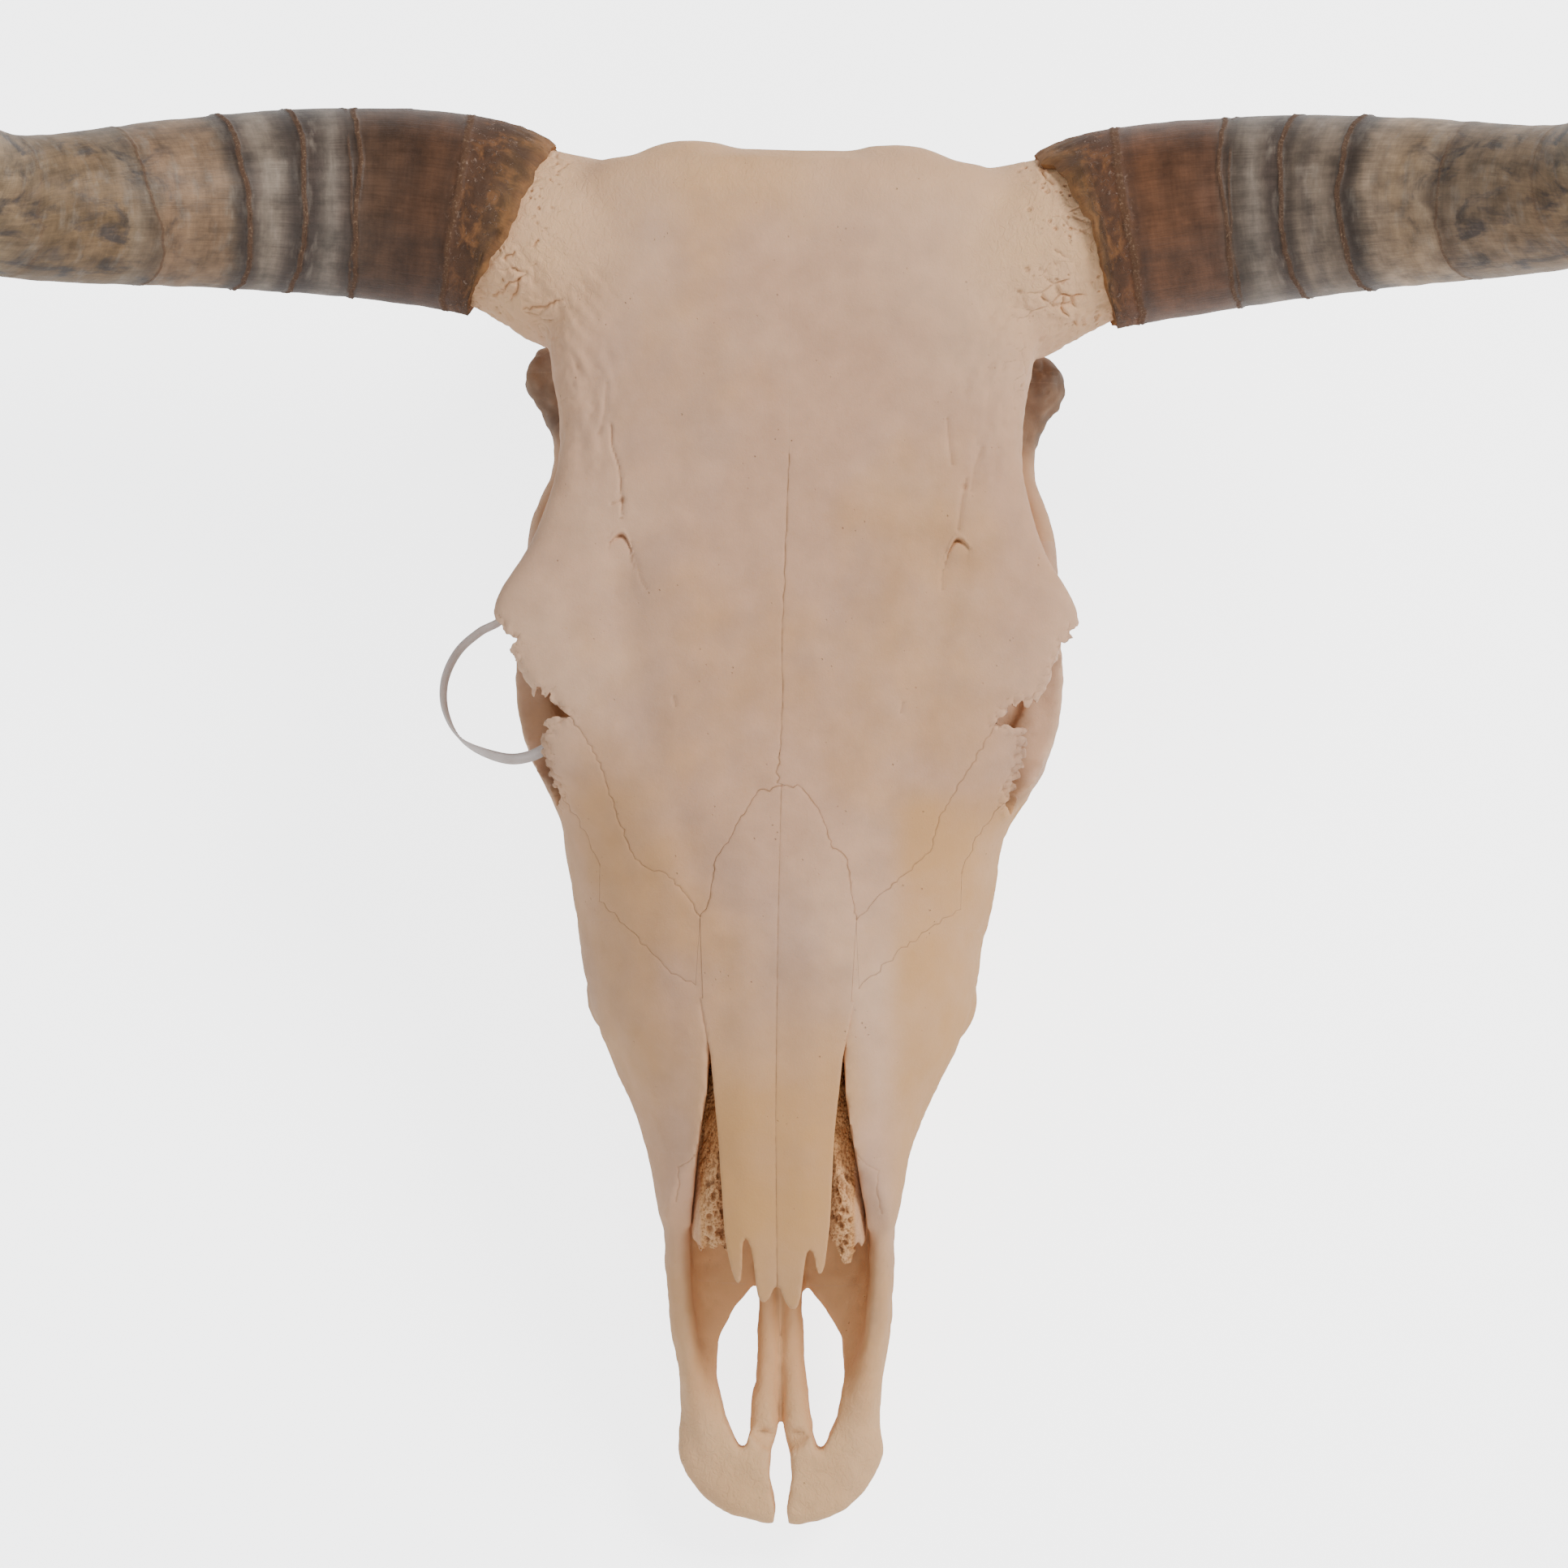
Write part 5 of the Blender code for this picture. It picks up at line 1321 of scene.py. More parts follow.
turbinate = {
    "course": ((25.5, -84, -30, 4, 6), (26.5, -100, -33, 5.5, 9),
               (27.5, -120, -37, 7, 13), (28, -140, -42, 8, 15),
               (27, -160, -48, 8.5, 14), (25.5, -177, -53, 8, 10.5),
               (25, -188, -56, 6.5, 8)),
    "plate": ((30.5, -112, -29, 2, 1.2), (32, -126, -31, 3, 1.2),
              (32.4, -140, -33.5, 3.6, 1.2), (32.2, -158, -39, 4, 1.1),
              (31.6, -172, -45, 3.8, 1), (31, -184, -50, 3, 0.9)),
    "gap": 1,                   # to the walls of the nose
    "frayed": (1.2, 0.5, 23),   # length, swing and seed of the lower edge's teeth
    "above": ((37, -70), (12, -70)),
    "below": -90,
    "ends": {                   # ragged lower edge
        1: ((12, -176), (16, -179), (19, -174), (22, -177), (24, -183),
            (26, -186.5), (28.2, -186), (29.4, -180), (31, -177), (32.4, -179.5),
            (37, -172)),
        -1: ((12, -178), (15.5, -182), (18, -179), (20, -182.5), (22.5, -178.5),
             (25, -181.5), (27.4, -180), (30, -183), (32.6, -178), (37, -174)),
    },
    "voxel": 0.5,
    "pore": 1.25,               # size of the fine cells
    "hole": 3.2,                # size of the open cells near the lower end
}


def makeTurbinate(side, word):
    gap = turbinate["gap"]
    room = [(along, halfWidth - gap, roof - gap, widest, floor + gap, *rest)
            for along, halfWidth, roof, widest, floor, *rest in hollows["nose"]]
    form = bmesh.new()
    addMember(form, turbinate["course"], side, 30, 28)
    addMember(form, turbinate["plate"], side, 24, 20)
    bone = newPiece(f"spongyBone_{word}", form)
    melt(bone, turbinate["voxel"], 1)
    carve(bone, shape("tool", addShell, room, 40, 40), "INTERSECT")
    ragged = jagged(turbinate["ends"][side], *turbinate["frayed"]) + turbinate["above"]
    carve(bone, shape("tool", addColumn, ragged, turbinate["below"], sky, side), "INTERSECT")
    melt(bone, turbinate["voxel"], 2)
    points, normals = readPoints(bone)
    plate, lace = zone(points, "spongyPlate"), zone(points, "lace")
    pores = fade(cellDistance(points, turbinate["pore"], 61 + side), 0.55, 0.25)
    large = fade(cellDistance(points * (1, 0.75, 1), turbinate["hole"], 64 + side), 0.55, 0.25)
    large *= lace
    push = 0.3 - 0.55 * pores * (1.0 - plate) - 1.7 * large
    push += (1.0 - plate) * waves(points, (0.5, 6.0, 66), (0.3, 2.6, 67))
    gaps = fade(waviness(points * (1, 0.5, 1), 4.0, 68), 0.0, 0.5)
    push -= zone(points, "spongyEnd") * 1.6 * gaps
    movePoints(bone, points + normals * push[:, None])
    # the material darkens these pores and open cells: painted shade
    storeMask(bone, "pore", np.clip(0.8 * pores * (1.0 - plate) + large, 0.0, 1.0))
    storeMask(bone, "lace", lace)
    storeMask(bone, "plate", plate)
    return bone


tie = {
    # course seen from above and how far the band is rolled over, in degrees
    "loop": ((-111.6, 61.6, 30), (-120, 56.4, 34), (-128.2, 48.6, 34),
             (-133, 37.6, 30), (-132.6, 26, 20), (-126.5, 15, -5),
             (-115, 9, -45), (-103.5, 7.5, -62), (-92, 12.5, -62),
             (-80.6, 26, -40), (-79.2, 42, 0), (-83, 60, 10), (-89.4, 74, 12),
             (-98, 80.5, 12), (-106.5, 77.5, 15), (-111, 70, 22)),
    "level": -45.0,
    "width": 4.6,
    "thickness": 1.2,
    "edge": 0.3,                # rounding of the outer corners
    "rib": 0.25,                # height of the ribs inside
    "rail": (0.9, 1.1),         # plain strip beside the ribs: width at its top and its foot
    "ribs": 300,
    "head": (-80.6, 51.0),
    "headSize": (4.4, 7.0, 6.4),
    "headEdge": 0.7,
}


def makeTie():
    loop = list(tie["loop"]) + [tie["loop"][0]]
    table = np.array(loop[-4:-1] + loop + loop[1:4])
    at = np.linspace(0.0, len(loop) - 1.0, tie["ribs"], endpoint=False) + 3.0
    ring = smoothRows(table, np.arange(len(table), dtype=float), at)
    half, side, edge, rib = tie["thickness"] / 2, tie["width"] / 2, tie["edge"], tie["rib"]
    top, foot = tie["rail"]
    form = bmesh.new()
    rings = []
    for index in range(len(ring)):
        point = Vector((ring[index][0], ring[index][1], tie["level"]))
        run = ring[(index + 1) % len(ring)] - ring[index - 1]
        outwards = Vector((run[1], -run[0], 0.0)).normalized()
        roll = math.radians(ring[index][2])
        wide = Vector((0, 0, math.cos(roll))) + outwards * math.sin(roll)
        thick = outwards * math.cos(roll) - Vector((0, 0, math.sin(roll)))
        inner = half - rib * (index % 2)
        profile = ((half, side - edge), (half, -side + edge), (half - edge, -side),
                   (-half + rib, -side), (-half + rib, -side + top), (-inner, -side + foot),
                   (-inner, side - foot), (-half + rib, side - top), (-half + rib, side),
                   (half - edge, side))
        rings.append([point + thick * x + wide * z for x, z in profile])
    skinRings(form, rings, closed=True)
    band = newPiece("tieBand", form)
    form = bmesh.new()
    block = bmesh.ops.create_cube(form, size=1.0)["verts"]
    bmesh.ops.scale(form, verts=block, vec=tie["headSize"])
    bmesh.ops.bevel(form, geom=form.edges[:], offset=tie["headEdge"], segments=3, profile=0.5,
                    affect="EDGES", material=-1)
    bmesh.ops.translate(form, verts=form.verts, vec=(*tie["head"], tie["level"]))
    carve(band, newPiece("lock", form), "UNION", "EXACT")
    return band


# Shader helpers

def addNode(tree, kind, **settings):
    node = tree.nodes.new(kind)
    for key, value in settings.items():
        setattr(node, key, value)
    return node


def feed(tree, value, socket):
    if isinstance(value, bpy.types.NodeSocket):
        tree.links.new(value, socket)
    elif socket.type == "RGBA" and len(value) == 3:
        socket.default_value = (*value, 1.0)
    else:
        socket.default_value = value


def mixed(tree, factor, first, second, blend="MIX"):
    node = addNode(tree, "ShaderNodeMix", data_type="RGBA", blend_type=blend)
    feed(tree, factor, node.inputs[0])
    feed(tree, first, node.inputs[6])
    feed(tree, second, node.inputs[7])
    return node.outputs[2]


def maths(tree, operation, first, second=0.5):
    node = addNode(tree, "ShaderNodeMath", operation=operation)
    feed(tree, first, node.inputs[0])
    feed(tree, second, node.inputs[1])
    return node.outputs[0]


def laid(tree, tone, amount, share, shade):     # a shade over the tone, by amount times share
    return mixed(tree, maths(tree, "MULTIPLY", amount, share), tone, shade)


def spread(tree, value, low, high, outLow=0.0, outHigh=1.0):
    node = addNode(tree, "ShaderNodeMapRange", clamp=True)
    feed(tree, value, node.inputs[0])
    for index, limit in enumerate((low, high, outLow, outHigh)):
        feed(tree, limit, node.inputs[index + 1])
    return node.outputs[0]


def noiseOf(tree, where, scale, octaves=3.0, roughness=0.55, distortion=0.0):
    node = addNode(tree, "ShaderNodeTexNoise")
    feed(tree, where, node.inputs["Vector"])
    for key, value in (("Scale", scale), ("Detail", octaves), ("Roughness", roughness),
                       ("Distortion", distortion)):
        feed(tree, value, node.inputs[key])
    return node.outputs[0]


def cellsOf(tree, where, scale):
    node = addNode(tree, "ShaderNodeTexVoronoi")
    feed(tree, where, node.inputs["Vector"])
    node.inputs["Scale"].default_value = scale
    return node.outputs["Distance"]


def stretched(tree, where, sizes):
    node = addNode(tree, "ShaderNodeMapping")
    feed(tree, where, node.inputs["Vector"])
    feed(tree, sizes, node.inputs["Scale"])
    return node.outputs[0]


def attributeOf(tree, name, output="Fac"):
    return addNode(tree, "ShaderNodeAttribute", attribute_name=name).outputs[output]


def newGroup(name, inputs, outputs):
    tree = bpy.data.node_groups.new(name, "ShaderNodeTree")
    for label, kind, value in inputs:
        socket = tree.interface.new_socket(name=label, in_out="INPUT", socket_type=kind)
        if value is not None:
            socket.default_value = value
    for label, kind in outputs:
        tree.interface.new_socket(name=label, in_out="OUTPUT", socket_type=kind)
    entry = tree.nodes.new("NodeGroupInput")
    leave = tree.nodes.new("NodeGroupOutput")
    return tree, entry.outputs, leave.inputs


def useGroup(tree, group, **values):
    node = tree.nodes.new("ShaderNodeGroup")
    node.node_tree = group
    for key, value in values.items():
        feed(tree, value, node.inputs[key])
    return node.outputs


number, colour, vector = "NodeSocketFloat", "NodeSocketColor", "NodeSocketVector"


def makeToneGroup():                # dry bone: broad patches, small blotches and fine specks
    tree, given, result = newGroup(
        "dryBoneTone",
        [("Where", vector, None), ("Main", colour, (0.6, 0.46, 0.36, 1.0)),
         ("Pale", colour, (0.7, 0.6, 0.5, 1.0)), ("Tan", colour, (0.6, 0.42, 0.25, 1.0)),
         ("Green", colour, (0.4, 0.42, 0.33, 1.0))],
        [("Colour", colour)])
    where = given["Where"]
    broad = spread(tree, noiseOf(tree, where, 9.0, 3.0), 0.40, 0.66)
    tone = laid(tree, given["Main"], broad, 0.85, given["Pale"])
    along, across = stretched(tree, where, (1.0, 0.7, 1.0)), stretched(tree, where, (1.3, 1.0, 1.0))
    tan = spread(tree, noiseOf(tree, along, 14.0, 4.0), 0.48, 0.68)
    tone = laid(tree, tone, tan, 0.65, given["Tan"])
    green = spread(tree, noiseOf(tree, across, 12.0, 3.0), 0.5, 0.68)
    tone = laid(tree, tone, green, 0.7, given["Green"])
    blotch = spread(tree, noiseOf(tree, where, 85.0, 4.0), 0.3, 0.75, 0.91, 1.07)
    tone = mixed(tree, 1.0, tone, greyOf(tree, blotch), "MULTIPLY")
    speck = spread(tree, noiseOf(tree, where, 620.0, 3.0, 0.7), 0.62, 0.74)
    tone = laid(tree, tone, speck, 0.3, given["Tan"])
    tree.links.new(tone, result["Colour"])
    return tree


def greyOf(tree, value):
    node = addNode(tree, "ShaderNodeCombineColor")
    for index in range(3):
        feed(tree, value, node.inputs[index])
    return node.outputs[0]


def makeGrainGroup():               # height of the bone's fine surface
    tree, given, result = newGroup(
        "boneGrain", [("Where", vector, None), ("Rough", number, 0.0)],
        [("Height", number), ("Pore", number)])
    where = given["Where"]
    soft = noiseOf(tree, where, 210.0, 5.0, 0.6)
    fine = noiseOf(tree, where, 1100.0, 3.0, 0.6)
    chance = spread(tree, noiseOf(tree, where, 60.0, 2.0), 0.56, 0.68)
    pore = spread(tree, cellsOf(tree, where, 330.0), 0.14, 0.05)
    pore = maths(tree, "MULTIPLY", pore, chance)
    ridges = noiseOf(tree, stretched(tree, where, (1.0, 0.7, 1.0)), 330.0, 4.0, 0.5, 0.6)
    crease = maths(tree, "ABSOLUTE", maths(tree, "SUBTRACT", ridges, 0.5))
    crease = spread(tree, crease, 0.0, 0.12)
    rough = maths(tree, "MULTIPLY", maths(tree, "SUBTRACT", crease, 1.0), given["Rough"])
    height = maths(tree, "MULTIPLY", soft, 0.5)
    for operation, part, share in (("ADD", fine, 0.16), ("SUBTRACT", pore, 0.8),
                                   ("ADD", rough, 0.35)):
        height = maths(tree, operation, height, maths(tree, "MULTIPLY", part, share))
    tree.links.new(height, result["Height"])
    tree.links.new(pore, result["Pore"])
    return tree


boneFinish = {
    "main": (0.655, 0.392, 0.250),
    "pale": (0.760, 0.495, 0.325),
    "tan": (0.650, 0.355, 0.140),
    "green": (0.530, 0.338, 0.245),
    "cream": (0.850, 0.530, 0.285),
    # inside the sockets and temples: stain and painted shade
    "deep": (0.230, 0.110, 0.050),
    "amber": (0.740, 0.400, 0.185),
    # painted shade under the brow's lobes and on the base
    "shadeBelow": (0.220, 0.140, 0.095),
    # also the dirt and painted shade in hollows and pores
    "stain": (0.290, 0.160, 0.085),
    "seam": (0.330, 0.165, 0.070),
    "roughness": (0.58, 0.78),
    "shine": 0.35,
    "glow": (0.08, (0.004, 0.002, 0.001)),      # share of light let in, depth for each colour
    "bump": 0.00045,
}


def newMaterial(name):
    material = bpy.data.materials.new(name)
    material.use_nodes = True
    tree = material.node_tree
    return material, tree, tree.nodes["Principled BSDF"]


def objectPlace(tree):
    return addNode(tree, "ShaderNodeTexCoord").outputs["Object"]


def bumped(tree, shader, height, distance):
    node = addNode(tree, "ShaderNodeBump")
    node.inputs["Distance"].default_value = distance
    feed(tree, height, node.inputs["Height"])
    feed(tree, node.outputs[0], shader.inputs["Normal"])


def letLightIn(shader, share, depths):
    shader.inputs["Subsurface Weight"].default_value = share
    shader.inputs["Subsurface Radius"].default_value = depths


def makeBoneMaterial(name, groups, warmth=0.0):
    material, tree, shader = newMaterial(name)
    where = objectPlace(tree)
    tone = useGroup(tree, groups["tone"], Where=where, Main=boneFinish["main"],
                    Pale=boneFinish["pale"], Tan=boneFinish["tan"],
                    Green=boneFinish["green"])["Colour"]
    cream, stain = attributeOf(tree, "cream"), attributeOf(tree, "stain")
    cavity = attributeOf(tree, "cavity")
    grain = useGroup(tree, groups["grain"], Where=where, Rough=cream)
    uneven = spread(tree, noiseOf(tree, where, 34.0, 4.0), 0.32, 0.6, 0.6, 1.0)
    for key, shade, share in (("warm", "tan", 1.0), ("cream", "cream", 0.85)):
        amount = maths(tree, "MULTIPLY", attributeOf(tree, key), share)
        tone = laid(tree, tone, amount, uneven, boneFinish[shade])
    tone = mixed(tree, warmth, tone, boneFinish["tan"])
    patch = spread(tree, noiseOf(tree, where, 60.0, 4.0), 0.3, 0.6, 0.65, 1.0)
    # the nose's own amber, the painted shade below the lobes and base, and the stain and painted
    # shade in the sockets
    for key in ("amber", "shadeBelow", "deep"):
        tone = laid(tree, tone, attributeOf(tree, key), patch, boneFinish[key])
    # darker in hollows: dirt and painted shade
    shadeAndDirtInHollows = spread(tree, cavity, 0.53, 0.72)
    tone = laid(tree, tone, shadeAndDirtInHollows, 0.42, boneFinish["stain"])
    # paler over bulges and ridges of the surface
    paleOnBulges = spread(tree, cavity, 0.47, 0.3)
    tone = laid(tree, tone, paleOnBulges, 0.12, boneFinish["pale"])
    broken = spread(tree, noiseOf(tree, where, 190.0, 3.0), 0.36, 0.6, 0.15, 1.0)
    line = maths(tree, "MULTIPLY", spread(tree, stain, 0.15, 0.95), broken)
    tone = laid(tree, tone, line, 0.8, boneFinish["seam"])
    # darker pores: dirt and painted shade
    tone = laid(tree, tone, grain["Pore"], 0.4, boneFinish["stain"])
    feed(tree, tone, shader.inputs["Base Color"])
    gloss = spread(tree, noiseOf(tree, where, 45.0, 3.0), 0.3, 0.7, *boneFinish["roughness"])
    feed(tree, gloss, shader.inputs["Roughness"])
    shader.inputs["Specular IOR Level"].default_value = boneFinish["shine"]
    letLightIn(shader, *boneFinish["glow"])
    bumped(tree, shader, grain["Height"], boneFinish["bump"])
    return material


spongy = {
    # dark: painted shade in the pores and cells
    "main": (0.640, 0.295, 0.095), "light": (0.760, 0.410, 0.170), "dark": (0.260, 0.100, 0.035),
    "lace": (0.760, 0.450, 0.220), "plate": (0.660, 0.390, 0.230), "bump": 0.0005,
}


def makeSpongyMaterial(groups):
    material, tree, shader = newMaterial("spongyBoneFinish")
    where = objectPlace(tree)
    pore = attributeOf(tree, "pore")
    patch = spread(tree, noiseOf(tree, where, 90.0, 4.0), 0.35, 0.65)
    tone = mixed(tree, patch, spongy["main"], spongy["light"])
    for key in ("lace", "plate"):
        tone = laid(tree, tone, attributeOf(tree, key), 0.75, spongy[key])
    # the tiny cells, pores and open cells are darkened: painted shade
    tinyCells = spread(tree, cellsOf(tree, where, 1050.0), 0.4, 0.15, 0.0, 0.55)
    offPlate = maths(tree, "SUBTRACT", 1.0, attributeOf(tree, "plate"))
    tone = laid(tree, tone, tinyCells, offPlate, spongy["dark"])
    tone = mixed(tree, spread(tree, pore, 0.3, 0.95, 0.0, 0.7), tone, spongy["dark"])
    grain = useGroup(tree, groups["grain"], Where=where, Rough=1.0)
    tone = mixed(tree, grain["Pore"], tone, spongy["dark"])
    feed(tree, tone, shader.inputs["Base Color"])
    feed(tree, spread(tree, patch, 0.0, 1.0, 0.9, 0.75), shader.inputs["Roughness"])
    bumped(tree, shader, grain["Height"], spongy["bump"])
    return material


hornTip = ((330, 0.3, 0.225, 0.145), (450, 0.16, 0.11, 0.07), (520, 0.05, 0.035, 0.025),
           (600, 0.018, 0.014, 0.012))
hornFinish = {
    # bands along the sheath: millimetres from the rim, colour
    "bands": {
        -1: ((0, 0.216, 0.114, 0.044), (5, 0.128, 0.067, 0.028), (12, 0.085, 0.04, 0.02),
             (22, 0.094, 0.042, 0.02), (40, 0.072, 0.034, 0.018), (60, 0.081, 0.044, 0.026),
             (66, 0.083, 0.055, 0.04), (71, 0.13, 0.098, 0.078), (76, 0.195, 0.16, 0.13),
             (80, 0.115, 0.09, 0.072), (84, 0.062, 0.044, 0.036), (90, 0.066, 0.046, 0.036),
             (97, 0.105, 0.08, 0.064), (102, 0.2, 0.158, 0.122), (107, 0.21, 0.168, 0.13),
             (111, 0.11, 0.082, 0.064), (117, 0.065, 0.046, 0.037),
             (121, 0.136, 0.098, 0.067), (127, 0.218, 0.138, 0.082),
             (140, 0.246, 0.156, 0.092), (153, 0.222, 0.137, 0.08),
             (160, 0.147, 0.103, 0.067), (170, 0.202, 0.15, 0.101),
             (178, 0.202, 0.129, 0.067), (205, 0.175, 0.116, 0.063),
             (230, 0.221, 0.155, 0.092), *hornTip),
        1: ((0, 0.216, 0.114, 0.044), (5, 0.144, 0.076, 0.033), (12, 0.12, 0.055, 0.028),
            (20, 0.133, 0.056, 0.026), (34, 0.123, 0.053, 0.025), (58, 0.105, 0.05, 0.028),
            (67, 0.115, 0.086, 0.064), (73, 0.15, 0.12, 0.095), (77, 0.215, 0.174, 0.14),
            (81, 0.165, 0.128, 0.1), (85, 0.068, 0.049, 0.04), (91, 0.084, 0.06, 0.046),
            (96, 0.2, 0.152, 0.112), (101, 0.135, 0.103, 0.08), (106, 0.21, 0.16, 0.118),
            (113, 0.145, 0.108, 0.08), (118, 0.07, 0.05, 0.04), (123, 0.108, 0.082, 0.06),
            (129, 0.342, 0.248, 0.171), (142, 0.285, 0.194, 0.117),
            (155, 0.314, 0.225, 0.149), (161, 0.125, 0.084, 0.056), (168, 0.21, 0.15, 0.1),
            (190, 0.235, 0.162, 0.102), (212, 0.239, 0.156, 0.091), (240, 0.22, 0.165, 0.1),
            *hornTip),
    },
    "amber": (0.300, 0.132, 0.048),
    "fleck": (0.400, 0.270, 0.205),
    "skin": (0.075, 0.038, 0.022),
    "ridge": (0.120, 0.062, 0.034),
    "ridgeEdge": (0.270, 0.175, 0.110),
    "charcoal": (0.050, 0.046, 0.048),
    "ochre": (0.195, 0.128, 0.078),
    "white": (0.280, 0.235, 0.190),
    "shadow": (0.030, 0.020, 0.016),
    "shine": 0.3,
    "bump": 0.0005,
}


def rampOf(tree, value, stops):
    node = addNode(tree, "ShaderNodeValToRGB")
    ramp = node.color_ramp
    while len(ramp.elements) > 1:
        ramp.elements.remove(ramp.elements[-1])
    ramp.elements[0].position = stops[0][0]
    ramp.elements[0].color = (*stops[0][1], 1.0)
    for place, shade in stops[1:]:
        ramp.elements.new(place).color = (*shade, 1.0)
    feed(tree, value, node.inputs[0])
    return node.outputs[0]


def makeStreakGroup():              # fine lines along a horn's fibres
    tree, given, result = newGroup(
        "hornStreaks", [("Straight", vector, None)], [("Fine", number), ("Broad", number)])
    fine = noiseOf(tree, stretched(tree, given["Straight"], (0.06, 1.4, 1.4)), 1.0, 4.0, 0.7)
    broad = noiseOf(tree, stretched(tree, given["Straight"], (0.03, 0.28, 0.28)), 1.0, 4.0, 0.6)
    tree.links.new(fine, result["Fine"])
    tree.links.new(broad, result["Broad"])
    return tree


def makeHornMaterial(side, word, groups):
    material, tree, shader = newMaterial(f"hornFinish_{word}")
    straight = attributeOf(tree, "straight", "Vector")
    ridge, along = attributeOf(tree, "ridge"), attributeOf(tree, "band")
    streaks = useGroup(tree, groups["streaks"], Straight=straight)
    fine, broad = streaks["Fine"], streaks["Broad"]

    def field(sizes, *settings):
        return noiseOf(tree, stretched(tree, straight, sizes), 1.0, *settings)

    def times(first, second):
        return maths(tree, "MULTIPLY", first, second)

    drift = maths(tree, "SUBTRACT", field((0.02, 0.05, 0.05), 3.0), 0.5)
    jitter = times(maths(tree, "SUBTRACT", fine, 0.5), 3.5)
    warped = maths(tree, "ADD", along, times(drift, spread(tree, along, 20.0, 200.0, 4.0, 34.0)))
    warped = maths(tree, "ADD", warped, jitter)
    stops = [(place / horn["length"], shade) for place, *shade in hornFinish["bands"][side]]
    tone = rampOf(tree, maths(tree, "DIVIDE", warped, horn["length"]), stops)
    # cloudy charcoal, ochre and cream from the middle outwards
    far = spread(tree, along, 112.0, 165.0)
    dark = spread(tree, field((0.06, 0.07, 0.07), 5.0, 0.62, 0.6), 0.5, 0.64)
    warm = spread(tree, field((0.075, 0.06, 0.06), 4.0, 0.6, 0.4), 0.5, 0.64)
    pale = spread(tree, field((0.16, 0.06, 0.06), 4.0, 0.6), 0.53, 0.7)
    tone = laid(tree, tone, times(warm, far), 0.45, hornFinish["ochre"])
    tone = laid(tree, tone, times(dark, far), 0.8, hornFinish["charcoal"])
    pale = times(pale, spread(tree, along, 66.0, 80.0))
    tone = laid(tree, tone, pale, 0.5, hornFinish["white"])
    clouds = field((0.11, 0.09, 0.09), 5.0, 0.6)
    rings = field((0.9, 0.05, 0.05), 3.0, 0.6)
    for pattern, edge, low, high in ((fine, 0.22, 0.86, 1.12), (broad, 0.2, 0.84, 1.16),
                                     (clouds, 0.18, 0.66, 1.34), (rings, 0.2, 0.9, 1.09)):
        shading = spread(tree, pattern, 0.5 - edge, 0.5 + edge, low, high)
        tone = mixed(tree, 1.0, tone, greyOf(tree, shading), "MULTIPLY")
    tone = laid(tree, tone, attributeOf(tree, "shade"), 0.6, hornFinish["shadow"])
    # flaky skin behind the rim
    flaky = spread(tree, maths(tree, "ADD", along, times(drift, 14.0)), 26.0, 14.0)
    blotch = field((0.16, 0.12, 0.12), 5.0, 0.65, 0.5)
    for low, high, share, key in ((0.42, 0.62, 0.8, "skin"), (0.46, 0.32, 0.6, "amber")):
        patch = times(spread(tree, blotch, low, high), flaky)
        tone = laid(tree, tone, patch, share, hornFinish[key])
    flecks = field((0.5, 0.42, 0.42), 5.0, 0.75, 0.8)
    flecks = times(spread(tree, flecks, 0.57, 0.67), spread(tree, along, 27.0, 18.0))
    flecks = times(flecks, spread(tree, along, 2.5, 6.0))
    tone = laid(tree, tone, flecks, 0.7, hornFinish["fleck"])
    strip = maths(tree, "ADD", along, times(drift, 6.0))
    fibres = spread(tree, field((0.1, 1.6, 1.6), 3.0), 0.35, 0.65, 0.5, 1.0)
    fibres = times(fibres, spread(tree, field((0.1, 0.09, 0.09), 3.0), 0.35, 0.6, 0.25, 1.0))
    strip = spread(tree, strip, 4.2, 1.2, 0.0, 0.7)
    tone = laid(tree, tone, strip, fibres, hornFinish["amber"])
    # rough ridges
    crumbs = field((0.7, 0.7, 0.7), 4.0, 0.7)
    edge = spread(tree, crumbs, 0.54, 0.66)
    edge = mixed(tree, edge, hornFinish["ridge"], hornFinish["ridgeEdge"])
    tone = mixed(tree, spread(tree, ridge, 0.25, 0.8, 0.0, 0.75), tone, edge)
    feed(tree, tone, shader.inputs["Base Color"])
    gloss = spread(tree, fine, 0.3, 0.7, 0.38, 0.52)
    gloss = maths(tree, "ADD", gloss, times(flaky, 0.25))
    gloss = maths(tree, "ADD", gloss, spread(tree, ridge, 0.2, 0.8, 0.0, 0.3))
    feed(tree, gloss, shader.inputs["Roughness"])
    shader.inputs["Specular IOR Level"].default_value = hornFinish["shine"]
    height = times(fine, 0.35)
    for part, where, share in ((crumbs, ridge, 1.2), (blotch, flaky, 1.4), (flecks, flaky, 0.5)):
        height = maths(tree, "ADD", height, times(times(part, where), share))
    bumped(tree, shader, height, hornFinish["bump"])
    return material


enamel = {"main": (0.74, 0.64, 0.50), "stain": (0.30, 0.19, 0.10), "neck": (0.55, 0.42, 0.28),
          "bump": 0.0002}


